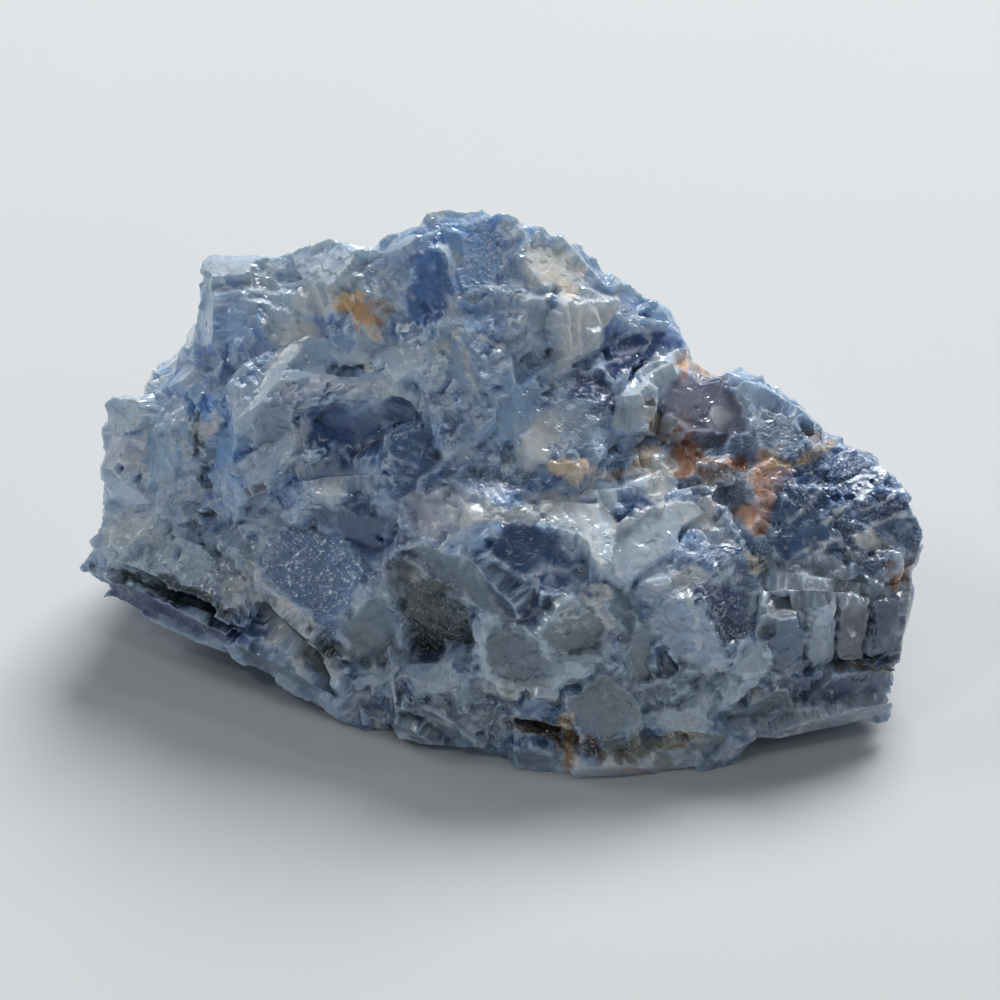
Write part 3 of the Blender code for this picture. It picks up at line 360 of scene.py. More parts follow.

# Broken faces on the front: colour, its share, finish, how the face is turned to the right and leant back in
# degrees, how far it stands out, and its corners, in thousandths of the picture from its left and top.
# Faces in the near-black colour are painted shade in hollows and undercuts.
FACES = {
    "shoulder_top": ("milk", 0.8, "glassy", 0, 15, 0.3, ((204, 272), (218, 254), (262, 256), (256, 282),
        (222, 290))),
    "shoulder_side": ("sky", 0.8, "glassy", -15, -5, 0.2, ((203, 276), (232, 290), (234, 348), (198, 352),
        (188, 336))),
    "shoulder_blue": ("blue", 0.6, "glassy", 8, 0, 0.0, ((234, 292), (256, 296), (252, 346), (233, 348))),
    "bump_face": ("steel", 0.6, "stepped", 0, 10, 0.3, ((297, 260), (318, 243), (343, 245), (366, 262),
        (342, 298), (306, 284))),
    "bump_right": ("slate", 0.7, "stepped", 12, 0, 0.0, ((372, 256), (414, 258), (412, 300), (384, 306),
        (378, 284))),
    "drip": ("ochre", 0.85, "stepped", 0, 10, 0.3, ((340, 300), (362, 304), (386, 334), (387, 348),
        (378, 346), (352, 316))),
    "ridge_pale": ("milk", 0.75, "glassy", -20, 15, 0.5, ((318, 339), (325, 345), (285, 384), (250, 434),
        (244, 430), (272, 372), (288, 352))),
    "ridge_upper": ("sky", 0.7, "glassy", 10, 5, 0.0, ((310, 350), (343, 338), (361, 344), (346, 364),
        (316, 372))),
    "ridge_low": ("slate", 0.9, "glassy", 15, -8, 0.0, ((284, 394), (292, 410), (300, 434), (277, 450),
        (254, 448), (264, 410))),
    "shelf_pale": ("milk", 0.7, "glassy", 0, 18, 0.3, ((336, 357), (376, 353), (377, 367), (344, 370))),
    "shelf_right": ("milk", 0.6, "glassy", 8, 12, 0.2, ((386, 352), (414, 348), (432, 372), (402, 392),
        (388, 374))),
    "hollow_floor": ("deep", 0.95, "glassy", 0, -6, -0.5, ((316, 425), (334, 404), (402, 402), (424, 418),
        (392, 428), (380, 456), (352, 460), (334, 440))),
    "hollow_wing": ("deep", 0.85, "glassy", 12, -5, 0.0, ((392, 436), (424, 430), (446, 458), (418, 484),
        (392, 474))),
    "hollow_foot": ("blue", 0.7, "stepped", -8, 8, 0.0, ((300, 468), (362, 462), (392, 478), (350, 492),
        (306, 484))),
    # A white chip, its bright white partly a painted highlight.
    "white_chip_and_glint": ("white", 1.0, "glassy", 0, 20, 0.5, ((319, 493), (328, 485), (348, 494), (338, 504),
        (323, 500))),
    "second_deep": ("deep", 0.95, "glassy", 5, -8, -0.3, ((296, 508), (316, 502), (366, 507), (400, 518),
        (402, 532), (392, 557), (372, 557), (346, 541), (312, 522))),
    "dark_face": ("brown", 0.5, "glassy", 10, -15, -0.2, ((256, 486), (274, 486), (271, 504), (254, 519),
        (245, 511))),
    "strip_milky": ("steel", 0.6, "stepped", -10, 12, 0.0, ((238, 478), (288, 441), (305, 436), (297, 460),
        (270, 482), (252, 488))),
    "stair_side": ("beige", 0.5, "glassy", -20, 0, 0.2, ((148, 368), (161, 365), (159, 393), (144, 394))),
    "stair_blue": ("blue", 0.6, "glassy", 5, 5, 0.0, ((162, 366), (188, 356), (203, 374), (188, 397),
        (160, 391))),
    "stair_top": ("milk", 0.8, "glassy", 0, 20, 0.2, ((176, 352), (190, 347), (196, 356), (182, 360))),
    "end_top": ("milk", 0.5, "stepped", -12, 6, 0.3, ((113, 399), (157, 397), (154, 425), (129, 438),
        (108, 434))),
    "end_blue": ("blue", 0.6, "glassy", 5, 0, 0.0, ((162, 400), (188, 398), (193, 420), (176, 437),
        (160, 426))),
    "end_purple": ("purple", 0.65, "glassy", -15, 5, 0.3, ((108, 436), (146, 438), (136, 462), (121, 473),
        (103, 467))),
    "end_pale": ("sky", 0.7, "glassy", -5, 5, 0.1, ((152, 440), (182, 438), (188, 466), (167, 481),
        (147, 473))),
    "end_low": ("sky", 0.5, "stepped", -8, -5, 0.0, ((108, 478), (146, 480), (160, 500), (118, 516),
        (104, 500))),
    "crack_glint": ("white", 1.0, "glassy", 0, 15, 0.4, ((207, 438), (223, 417), (225, 433))),
    "beside_crack": ("blue", 0.7, "glassy", -10, -5, 0.0, ((212, 440), (248, 437), (254, 450), (234, 466),
        (218, 482))),
    "crown_lump": ("steel", 0.8, "glassy", -5, 10, 0.3, ((377, 254), (403, 234), (424, 228), (418, 258),
        (398, 264))),
    "crown_cap": ("milk", 0.7, "sugary", 0, 15, 0.3, ((434, 214), (449, 209), (470, 214), (464, 226),
        (443, 227))),
    "crown_deep": ("deep", 0.95, "glassy", -10, -5, 0.0, ((424, 264), (440, 250), (452, 262), (460, 290),
        (456, 316), (436, 318), (420, 300))),
    "crown_beige": ("beige", 0.35, "stepped", 5, 12, 0.3, ((514, 266), (534, 249), (555, 247), (566, 266),
        (590, 288), (570, 300), (536, 292))),
    "crown_rim": ("slate", 0.6, "glassy", 18, 8, 0.0, ((548, 230), (570, 239), (600, 270), (616, 288),
        (600, 290), (574, 270))),
    "crown_face": ("slate", 0.9, "glassy", 12, -6, 0.0, ((524, 302), (554, 298), (551, 343), (539, 363),
        (522, 352), (512, 336))),
    "stripes_block": ("white", 0.75, "glassy", -5, 2, 0.6, ((558, 300), (572, 308), (612, 301), (602, 333),
        (589, 334), (588, 356), (568, 360), (549, 361), (556, 330))),
    "crown_corner": ("navy", 0.5, "sugary", 15, 8, 0.0, ((616, 292), (633, 288), (646, 303), (630, 323),
        (610, 332), (604, 322))),
    "lens_cap": ("steel", 0.6, "glassy", 20, 10, 0.2, ((648, 306), (664, 304), (677, 316), (686, 350),
        (676, 350), (658, 328))),
    "lens": ("navy", 0.95, "glassy", 5, -18, 0.2, ((604, 356), (615, 343), (636, 333), (661, 333),
        (680, 344), (684, 356), (654, 356), (630, 369), (615, 382), (604, 374))),
    "fin": ("milk", 0.7, "glassy", -10, 12, 0.6, ((680, 354), (674, 360), (648, 392), (638, 407),
        (624, 410), (615, 402), (630, 384), (654, 358))),
    "fin_heart": ("slate", 0.6, "glassy", -10, 12, 0.5, ((664, 364), (650, 378), (640, 388), (636, 384),
        (652, 368))),
    "under_fin": ("milk", 0.6, "sugary", 0, 8, 0.1, ((616, 408), (646, 408), (644, 428), (624, 438),
        (610, 426))),
    "pocket": ("navy", 0.85, "sugary", 0, 12, -0.6, ((548, 380), (570, 372), (600, 378), (612, 390),
        (600, 403), (566, 399))),
    "purple_face": ("purple", 0.9, "glassy", -5, -22, 0.2, ((669, 380), (692, 374), (717, 381), (738, 400),
        (744, 432), (712, 440), (680, 437), (668, 424), (654, 410))),
    "light_face": ("steel", 0.75, "glassy", 10, 10, 0.2, ((718, 378), (742, 366), (776, 388), (800, 410),
        (784, 416), (752, 404), (738, 396))),
    "web_face": ("slate", 0.6, "sugary", 8, 0, 0.0, ((748, 410), (784, 418), (800, 440), (780, 462),
        (750, 452))),
    "glow": ("sky", 0.75, "glassy", 0, 5, 0.0, ((498, 400), (528, 396), (536, 420), (520, 446),
        (498, 440))),
    "cloud": ("white", 0.6, "glassy", 10, 10, 0.3, ((520, 440), (538, 424), (554, 430), (546, 462),
        (526, 466))),
    "rust_heart": ("rust", 0.9, "dull", 0, 8, 0.0, ((672, 440), (680, 446), (684, 462), (694, 468),
        (690, 480), (676, 478), (668, 460))),
    "rust_brown": ("brown", 0.7, "dull", 0, 5, -0.2, ((694, 466), (722, 466), (726, 480), (708, 487),
        (692, 480))),
    "salmon_face": ("salmon", 0.75, "dull", 5, 10, 0.2, ((738, 470), (764, 466), (790, 472), (772, 484),
        (764, 500), (748, 504), (740, 490))),
    "salmon_low": ("salmon", 0.8, "dull", 0, 5, 0.1, ((726, 513), (738, 501), (754, 508), (756, 521),
        (744, 533), (736, 528))),
    "tan_lens": ("tan", 0.9, "dull", 0, 12, 0.3, ((543, 468), (552, 462), (574, 463), (580, 470),
        (570, 476), (550, 474))),
    "shelf_white": ("milk", 0.6, "glassy", 0, 15, 0.2, ((574, 486), (618, 484), (640, 492), (612, 500),
        (580, 498))),
    "dark_nook": ("slate", 0.85, "sugary", 0, -5, -0.5, ((714, 486), (732, 486), (736, 498), (722, 508),
        (708, 500))),
    "pit": ("brown", 0.6, "dull", 0, -5, -0.2, ((646, 416), (662, 410), (668, 430), (658, 440),
        (645, 434))),
    "slope_veil": ("milk", 0.8, "glassy", -12, 15, 0.4, ((611, 531), (644, 511), (680, 503), (703, 508),
        (677, 531), (667, 552), (644, 564), (624, 587), (608, 580), (606, 562))),
    "blue_shoulder": ("deep", 0.7, "stepped", 8, 5, 0.0, ((680, 532), (722, 530), (740, 542), (724, 560),
        (703, 565), (668, 555))),
    "nook": ("navy", 0.8, "sugary", 0, -8, -0.5, ((698, 583), (724, 582), (748, 592), (749, 622),
        (738, 638), (722, 640), (710, 618))),
    "lobe": ("steel", 0.55, "stepped", 0, 0, 0.3, ((645, 608), (683, 588), (703, 613), (718, 643),
        (722, 664), (702, 671), (682, 663), (662, 643), (650, 628))),
    "lobe_dark": ("smoke", 0.9, "glassy", 10, -10, -0.3, ((629, 613), (647, 615), (652, 634), (644, 658),
        (649, 679), (629, 676), (624, 653))),
    "white_facet": ("milk", 0.8, "glassy", 0, 15, 0.4, ((723, 669), (754, 641), (759, 659), (759, 671))),
    "pale_fin": ("steel", 0.8, "glassy", -5, 8, 0.3, ((713, 707), (723, 677), (754, 674), (749, 682),
        (728, 697), (718, 707))),
    "cap_lilac": ("lilac", 0.75, "glassy", 0, 20, 0.5, ((749, 598), (759, 580), (790, 582), (856, 589),
        (862, 597), (830, 600), (785, 602), (754, 602))),
    "cap_strip": ("milk", 0.7, "glassy", -10, 0, 0.3, ((747, 602), (755, 602), (758, 620), (756, 640),
        (750, 638))),
    "recess": ("smoke", 0.9, "glassy", 0, -12, 1.6, ((756, 602), (790, 601), (788, 622), (772, 632),
        (757, 622))),
    "steps_left": ("blue", 0.7, "glassy", -6, 0, 0.2, ((762, 633), (789, 615), (800, 633), (797, 668),
        (769, 668))),
    "steps_mid": ("steel", 0.8, "glassy", 0, 0, 0.4, ((800, 607), (828, 600), (825, 643), (822, 658),
        (800, 664))),
    "steps_purple": ("purple", 0.8, "glassy", 4, 0, 0.6, ((831, 600), (860, 595), (857, 656), (826, 653))),
    "steps_navy": ("deep", 0.85, "glassy", 8, -2, 0.2, ((862, 600), (891, 592), (891, 656), (858, 652))),
    "teal_face": ("deep", 0.6, "glassy", 5, -8, 0.0, ((826, 662), (888, 669), (886, 691), (840, 699),
        (790, 699), (815, 674))),
    "bevel_dark": ("smoke", 0.8, "glassy", -5, -10, 0.0, ((714, 711), (779, 675), (789, 697), (724, 725))),
    "bevel": ("lilac", 0.6, "glassy", 3, -15, 0.2, ((730, 744), (789, 710), (889, 692), (886, 712),
        (871, 720), (784, 742), (738, 747))),
    "right_end": ("lilac", 0.85, "glassy", 25, 5, 0.0, ((892, 600), (892, 587), (915, 539), (922, 534),
        (913, 602), (902, 643), (893, 672))),
    "dome_left": ("deep", 0.8, "glassy", 0, 0, 0.0, ((754, 539), (789, 534), (805, 546), (800, 562),
        (779, 557))),
    "dome_beige": ("beige", 0.55, "glassy", 5, 12, 0.2, ((841, 534), (876, 536), (884, 549), (861, 551))),
    "dome_low": ("deep", 0.7, "stepped", 5, -5, 0.0, ((841, 557), (884, 559), (866, 575), (846, 572))),
    "dome_grey": ("grey", 0.6, "stepped", 0, 8, 0.2, ((766, 566), (830, 570), (862, 582), (856, 588),
        (790, 580), (764, 576))),
    "slab_deep": ("deep", 0.95, "glassy", 8, 6, 0.3, ((503, 523), (523, 520), (554, 539), (572, 557),
        (569, 582), (549, 592), (528, 584), (503, 567), (483, 554))),
    "slab_under": ("smoke", 0.85, "glassy", -12, -12, 0.2, ((404, 551), (421, 544), (472, 549), (503, 570),
        (531, 590), (526, 612), (503, 617), (472, 602))),
    "slab_navy": ("navy", 0.8, "glassy", -12, -12, 0.1, ((490, 562), (508, 574), (531, 590), (526, 610),
        (508, 614), (488, 590))),
    "slab_low": ("smoke", 0.85, "glassy", 15, -5, 0.3, ((527, 622), (539, 612), (569, 590), (604, 622),
        (600, 652), (554, 650), (543, 642))),
    "clear_block": ("smoke", 0.6, "glassy", 0, 0, 0.3, ((488, 634), (503, 623), (523, 626), (554, 654),
        (589, 659), (579, 673), (564, 673), (549, 688), (508, 681), (492, 672), (485, 653))),
    "hollow_dark": ("hollow", 0.8, "stepped", 0, -8, -0.2, ((386, 565), (406, 554), (437, 578), (476, 608),
        (472, 624), (476, 644), (449, 658), (419, 656), (406, 633), (401, 602))),
    "veil_fall": ("milk", 0.75, "glassy", 0, 8, 0.4, ((529, 521), (579, 499), (605, 498), (615, 526),
        (605, 577), (597, 577), (579, 546), (558, 531))),
    "pink_band": ("lilac", 0.75, "glassy", -5, 8, 0.2, ((414, 495), (442, 499), (460, 509), (460, 527),
        (438, 540), (416, 532), (411, 512))),
    "band_sky": ("sky", 0.6, "glassy", 0, 5, 0.1, ((440, 540), (462, 528), (500, 520), (496, 536),
        (474, 548), (450, 546))),
    "band_deep": ("blue", 0.8, "sugary", 5, 5, 0.0, ((452, 478), (476, 468), (510, 478), (530, 494),
        (498, 502), (464, 496))),
    "block_top": ("blue", 0.85, "sugary", 0, 18, 0.4, ((264, 563), (272, 532), (290, 522), (315, 522),
        (353, 542), (371, 568), (366, 583), (350, 614), (348, 644), (330, 637), (320, 624), (277, 581))),
    "block_beige": ("smoke", 0.8, "glassy", 18, 0, 0.2, ((351, 614), (366, 583), (389, 594), (399, 624),
        (399, 650), (366, 665), (346, 650))),
    "undercut": ("hollow", 0.6, "glassy", -10, -25, -0.4, ((262, 600), (287, 600), (323, 629), (351, 670),
        (345, 672), (318, 652), (294, 652), (272, 632))),
    "glint_a": ("white", 1.0, "glassy", 0, 20, 0.4, ((272, 632), (286, 629), (279, 647))),
    "glint_b": ("white", 1.0, "glassy", 0, 20, 0.4, ((301, 650), (315, 660), (302, 662))),
    "glint_gold": ("beige", 0.8, "glassy", 0, 15, 0.3, ((318, 658), (341, 670), (341, 675), (328, 673))),
    "crust_white": ("milk", 0.6, "sugary", 0, 12, 0.3, ((115, 522), (157, 509), (162, 527), (144, 554),
        (116, 548))),
    "slab_left": ("navy", 0.75, "glassy", -5, -12, 0.0, ((94, 566), (144, 584), (203, 610), (234, 614),
        (238, 636), (203, 634), (157, 616), (126, 614), (108, 603))),
    "slab_lip": ("steel", 0.75, "glassy", -5, 10, 0.2, ((142, 617), (203, 632), (240, 640), (284, 665),
        (213, 648), (162, 632))),
    "low_left": ("smoke", 0.6, "glassy", -8, -8, 0.0, ((240, 642), (290, 665), (352, 680), (356, 694),
        (304, 690), (289, 685), (254, 670))),
    "low_left_blue": ("steel", 0.75, "glassy", -8, -5, 0.2, ((304, 690), (352, 696), (336, 721),
        (315, 704))),
    "low_nook": ("navy", 0.7, "glassy", 0, -10, -0.3, ((358, 692), (374, 696), (388, 708), (372, 712),
        (360, 704))),
    "foot_slab": ("smoke", 0.6, "glassy", -5, -6, 0.2, ((421, 702), (462, 710), (482, 735), (467, 740),
        (437, 725))),
    "foot_low": ("smoke", 0.6, "glassy", -5, -6, 0.2, ((372, 716), (420, 712), (440, 738), (404, 742),
        (372, 730))),
    "sugar_foot": ("milk", 0.5, "sugary", 0, 12, 0.2, ((412, 672), (460, 676), (462, 686), (430, 690),
        (414, 684))),
    "front_slate": ("smoke", 0.7, "glassy", 5, -5, 0.0, ((560, 690), (600, 668), (634, 690), (640, 724),
        (600, 734), (568, 712))),
    "front_milk": ("milk", 0.5, "sugary", 0, 10, 0.1, ((648, 708), (690, 704), (706, 714), (700, 726),
        (664, 724))),
    "olive": ("olive", 0.75, "dull", 0, -8, -0.2, ((656, 735), (676, 730), (722, 728), (717, 738),
        (679, 758), (661, 773), (651, 756))),
    "foot_left": ("smoke", 0.7, "glassy", -8, -6, 0.2, ((509, 743), (554, 735), (558, 771), (539, 771),
        (523, 763))),
    "foot_lilac": ("lilac", 0.7, "glassy", 0, -8, 0.1, ((572, 752), (620, 758), (690, 760), (682, 776),
        (610, 780), (576, 772))),
}

# Fine lines: colour, its share, width, how far it stands out or is cut in, and its points in the picture.
# Lines in the near-black colour are painted shade in cracks, clefts and step joints.
LINES = {
    "crescent": ("white", 0.7, 0.5, 0.2, ((149, 438), (148, 450), (137, 463))),
    "left_crack": ("hollow", 0.9, 0.7, -1.0, ((203, 417), (200, 443), (207, 468), (210, 486))),
    "end_line_a": ("white", 0.5, 0.3, 0.1, ((188, 440), (192, 470), (198, 500))),
    "end_line_b": ("white", 0.4, 0.3, 0.1, ((176, 476), (182, 500), (190, 518))),
    "shelf_crack": ("hollow", 0.8, 0.4, -0.5, ((338, 372), (356, 369), (376, 369))),
    "hollow_rim": ("lilac", 0.7, 0.9, 0.4, ((288, 402), (330, 390), (378, 389), (417, 399), (442, 416))),
    "stripe_a": ("white", 0.42, 0.17, 0.05, ((302, 466), (330, 466), (361, 468))),
    "stripe_b": ("white", 0.36, 0.17, 0.05, ((305, 474), (340, 481), (362, 484))),
    "stripe_c": ("white", 0.31, 0.14, 0.05, ((312, 470), (348, 474))),
    "stripe_d": ("white", 0.24, 0.14, 0.05, ((394, 458), (417, 468))),
    "stripe_e": ("white", 0.21, 0.14, 0.05, ((389, 466), (412, 481))),
    "stripe_f": ("white", 0.18, 0.14, 0.05, ((386, 476), (404, 488))),
    "stripe_g": ("white", 0.18, 0.14, 0.05, ((400, 448), (426, 458))),
    "stripe_h": ("white", 0.15, 0.14, 0.05, ((410, 440), (436, 452))),
    "deep_fall_a": ("steel", 0.4, 0.5, 0.0, ((340, 506), (338, 538))),
    "deep_fall_b": ("steel", 0.4, 0.4, 0.0, ((388, 520), (384, 556))),
    "sugar_ray_a": ("white", 0.6, 0.4, 0.2, ((456, 338), (430, 392))),
    "sugar_ray_b": ("white", 0.6, 0.3, 0.2, ((458, 338), (476, 392))),
    "sugar_ray_c": ("white", 0.5, 0.3, 0.2, ((462, 334), (502, 350))),
    "sugar_edge": ("white", 0.6, 0.5, 0.2, ((410, 364), (440, 352), (458, 336))),
    "block_stripe_a": ("white", 0.9, 0.35, 0.2, ((562, 312), (560, 356))),
    "block_stripe_b": ("slate", 0.7, 0.3, -0.2, ((569, 314), (567, 358))),
    "block_stripe_c": ("white", 0.9, 0.35, 0.2, ((577, 312), (575, 356))),
    "block_stripe_d": ("slate", 0.7, 0.3, -0.2, ((584, 312), (582, 352))),
    "block_stripe_e": ("white", 0.8, 0.35, 0.2, ((592, 308), (590, 334))),
    "lens_line": ("milk", 0.5, 0.3, 0.15, ((606, 350), (618, 340), (640, 331), (664, 331))),
    "fin_edge": ("white", 0.8, 0.3, 0.3, ((655, 357), (630, 386), (614, 403))),
    "fin_edge_low": ("white", 0.7, 0.3, 0.3, ((675, 360), (650, 392), (640, 408))),
    "fin_cross": ("white", 0.6, 0.25, 0.2, ((654, 366), (664, 380))),
    "ochre_skyline": ("ochre", 0.7, 0.8, 0.0, ((684, 366), (700, 372), (716, 377))),
    "ochre_trace": ("ochre", 0.7, 0.7, 0.0, ((760, 468), (790, 464), (812, 454), (830, 444))),
    "rust_trail": ("rust", 0.7, 0.8, -0.2, ((672, 426), (674, 440), (682, 462))),
    "salmon_link": ("salmon", 0.9, 1.0, 0.0, ((764, 500), (756, 508), (750, 518))),
    "rust_joint": ("rust", 0.8, 0.9, -0.1, ((692, 472), (706, 466), (724, 462), (738, 468))),
    "tan_streak": ("tan", 0.6, 0.6, 0.0, ((580, 470), (600, 473), (620, 474))),
    "veil_top": ("white", 0.8, 1.0, 0.3, ((470, 510), (492, 508), (530, 512), (560, 506), (580, 500))),
    "veil_second": ("white", 0.5, 0.7, 0.2, ((440, 526), (470, 516), (500, 518), (528, 522))),
    "fall_a": ("white", 0.8, 0.4, 0.2, ((590, 505), (594, 540), (597, 570))),
    "fall_b": ("white", 0.7, 0.4, 0.2, ((605, 510), (615, 529))),
    "fall_c": ("white", 0.6, 0.4, 0.2, ((575, 508), (584, 536), (590, 560))),
    "fall_d": ("white", 0.5, 0.3, 0.2, ((560, 514), (574, 536), (582, 552))),
    "vein_cross": ("white", 0.9, 0.8, 0.3, ((580, 594), (597, 605), (607, 622))),
    "slope_crest": ("white", 0.8, 0.7, 0.3, ((611, 529), (644, 510), (675, 504), (703, 500))),
    "shoulder_line": ("white", 0.8, 0.35, 0.2, ((677, 526), (703, 533), (720, 534), (734, 541))),
    "lobe_arc": ("white", 0.5, 0.4, 0.1, ((682, 590), (690, 612), (694, 640))),
    "lobe_crest": ("milk", 0.6, 0.6, 0.2, ((640, 606), (660, 594), (684, 586))),
    "lobe_rim": ("lilac", 0.6, 0.6, 0.2, ((606, 622), (604, 650), (612, 676), (628, 684))),
    "dome_line_a": ("white", 0.7, 0.3, 0.15, ((815, 523), (828, 512), (841, 505))),
    "dome_line_b": ("white", 0.6, 0.3, 0.15, ((790, 554), (808, 544), (830, 538))),
    "dome_line_c": ("white", 0.6, 0.3, 0.15, ((846, 513), (872, 502), (899, 490))),
    "dome_line_d": ("white", 0.6, 0.3, 0.15, ((782, 520), (800, 506), (812, 490))),
    "dome_line_e": ("white", 0.5, 0.3, 0.15, ((850, 500), (866, 484), (880, 474))),
    "dome_line_f": ("white", 0.5, 0.3, 0.15, ((858, 528), (884, 516), (904, 514))),
    "dome_rust": ("rust", 0.8, 0.9, 0.0, ((886, 584), (892, 576), (899, 567))),
    "brown_ledge": ("brown", 0.9, 0.9, -0.7, ((826, 658), (853, 659), (889, 669))),
    "step_joint_a": ("hollow", 0.6, 0.3, -0.4, ((829, 602), (826, 652))),
    "step_joint_b": ("hollow", 0.6, 0.3, -0.4, ((861, 598), (857, 654))),
    "step_joint_c": ("hollow", 0.5, 0.3, -0.4, ((799, 610), (798, 662))),
    "step_glint": ("white", 0.8, 0.3, 0.2, ((838, 624), (844, 630))),
    "bevel_line": ("milk", 0.5, 0.4, 0.15, ((790, 706), (840, 700), (888, 690))),
    "end_edge": ("hollow", 0.5, 0.4, -0.2, ((892, 592), (908, 550), (921, 534))),
    # A painted highlight along the block's edge.
    "block_edge_glint": ("white", 1.0, 0.35, 0.3, ((287, 598), (303, 610), (321, 624))),
    "block_edge_top": ("milk", 0.8, 0.4, 0.2, ((264, 581), (277, 593))),
    "cleft": ("hollow", 0.95, 1.2, -1.2, ((130, 574), (150, 580), (175, 594), (203, 600), (234, 612))),
    "cleft_thin": ("hollow", 0.7, 0.5, -0.6, ((96, 566), (130, 574))),
    "slab_ridge": ("steel", 0.5, 0.3, 0.2, ((483, 553), (505, 568), (530, 586), (549, 593))),
    "slab_low_rim": ("milk", 0.7, 0.35, 0.2, ((526, 624), (543, 643), (554, 653), (595, 656))),
    "clear_rim": ("milk", 0.9, 0.6, 0.4, ((491, 671), (508, 681), (549, 688), (564, 673), (579, 673),
        (592, 659))),
    "clear_side": ("milk", 0.6, 0.4, 0.2, ((484, 628), (486, 654), (491, 671))),
    "foot_crack": ("brown", 0.9, 1.4, -1.0, ((513, 717), (549, 725), (584, 735), (597, 750))),
    "ochre_streak": ("ochre", 0.8, 0.7, 0.1, ((567, 710), (565, 740), (564, 771))),
    "foot_ochre": ("ochre", 0.5, 0.5, 0.0, ((600, 750), (612, 764), (640, 770))),
    "milky_slope": ("milk", 0.6, 0.5, 0.2, ((404, 545), (430, 540), (448, 548))),
    "foot_edge": ("milk", 0.5, 0.4, 0.2, ((440, 706), (470, 730), (482, 740))),
}


def unit(vectors):
    return vectors / np.maximum(np.linalg.norm(vectors, axis=-1, keepdims=True), 1e-12)


def ease(value, low, high):
    """0 up to low, 1 from high, and a smooth change between."""
    share = np.clip((value - low) / (high - low), 0.0, 1.0)
    return share * share * (3.0 - 2.0 * share)


def cloud(points, size, seed, rounds=3):
    """Smooth noise from about -1 to 1, with features this size across."""
    start = Vector((seed * 17.3, seed * -9.1, seed * 5.7))
    places = [Vector(p) + start for p in points / size]
    return np.array([noise.fractal(p, 1.0, 2.0, rounds) for p in places]) * 1.5


def drift(points, size, seed):
    """Smooth noise as vectors."""
    start = Vector((seed * 7.9, seed * 13.3, seed * -3.1))
    return np.array([noise.noise_vector(Vector(p) + start) for p in points / size])


def scatter(address, salt):
    """Repeatable random numbers from 0 to 1, one for each row of whole numbers."""
    mixed = address @ np.array([73856093, 19349663, 83492791, 49979687]) + salt * 15485863
    mixed = (mixed ^ (mixed >> 13)) * 1274126177 % 2147483647
    mixed = (mixed ^ (mixed >> 11)) * 668265263 % 2147483647
    return mixed / 2147483647.0


class Skin:
    """The stone's points in layout units, with the edges and triangles between them."""

    def __init__(self, mesh):
        self.mesh = mesh
        flat = np.empty(len(mesh.vertices) * 3, np.float32)
        mesh.vertices.foreach_get("co", flat)
        self.points = flat.reshape(-1, 3).astype(float) / LAYOUT_UNIT + LAYOUT_MIDDLE
        pairs = np.empty(len(mesh.edges) * 2, np.int32)
        mesh.edges.foreach_get("vertices", pairs)
        self.pairs = pairs.reshape(-1, 2)
        self.count = np.bincount(pairs, minlength=len(self.points))
        mesh.calc_loop_triangles()
        corners = np.empty(len(mesh.loop_triangles) * 3, np.int32)
        mesh.loop_triangles.foreach_get("vertices", corners)
        self.corners = corners.reshape(-1, 3)

    def normals(self):
        a, b, c = (self.points[self.corners[:, i]] for i in range(3))
        across = np.cross(b - a, c - a)
        total = np.zeros_like(self.points)
        for i, axis in itertools.product(range(3), range(3)):
            total[:, axis] += np.bincount(self.corners[:, i], across[:, axis], len(total))
        return unit(total)

    def smoothed(self, values, rounds):
        """The values, with each one drawn towards those around it."""
        values = np.array(values, float)
        columns = values.reshape(len(values), -1)
        first, second = self.pairs.T
        for _ in range(rounds):
            for column in columns.T:
                total = np.bincount(first, column[second], len(column))
                total += np.bincount(second, column[first], len(column))
                column[:] = 0.4 * column + 0.6 * total / self.count
        return values

    def depth(self, rounds):
        """How far each point lies inside the surface smoothed by these rounds."""
        return ((self.smoothed(self.points, rounds) - self.points) * self.normals()).sum(1)

    def write(self):
        placed = (self.points - LAYOUT_MIDDLE) * LAYOUT_UNIT
        placed[:, 2] = np.maximum(placed[:, 2], 0.0)
        self.mesh.vertices.foreach_set("co", placed.astype(np.float32).ravel())
        self.mesh.update()


def even_copy(node):
    """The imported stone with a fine, even net of faces."""
    mesh = node.data.copy()
    mesh.transform(node.matrix_world)
    mesh.materials.clear()
    rough = bpy.data.objects.new("calcite_stone", mesh)
    bpy.context.scene.collection.objects.link(rough)
    step = rough.modifiers.new("even", "REMESH")
    step.mode = "VOXEL"
    step.voxel_size = GRID * MM
    apply_modifiers(rough)
    return rough


def apply_modifiers(obj):
    graph = bpy.context.evaluated_depsgraph_get()
    made = bpy.data.meshes.new_from_object(obj.evaluated_get(graph), depsgraph=graph)
    obj.modifiers.clear()
    obj.vertex_groups.clear()
    obj.data = made


def thin(stone, ratio, kept=None):
    """Fewer faces where the surface is nearly flat. The kept points stay as they are."""
    step = stone.modifiers.new("thin", "DECIMATE")
    step.ratio = ratio
    step.use_collapse_triangulate = True
    if kept is not None:
        group = stone.vertex_groups.new(name="kept")
        group.add(np.flatnonzero(kept).tolist(), 0.0, "REPLACE")
        group.add(np.flatnonzero(~kept).tolist(), 1.0, "REPLACE")
        step.vertex_group = group.name
    apply_modifiers(stone)


def crystals(rng, points, normals, count, lean):
    """Crystals: the middle of each, and its three cleavage directions, the last one near the way out."""
    places = rng.uniform(points.min(axis=0) - 2.0, points.max(axis=0) + 2.0, (count, 3))
    picked = nearest(points, places)
    out = unit(normals[picked] + rng.normal(size=(count, 3)) * lean)
    aside = unit(np.cross(out, rng.normal(size=(count, 3))))
    slant = aside * math.cos(SLANT) + np.cross(out, aside) * math.sin(SLANT)
    return points[picked], np.stack([aside, slant, out], axis=1)


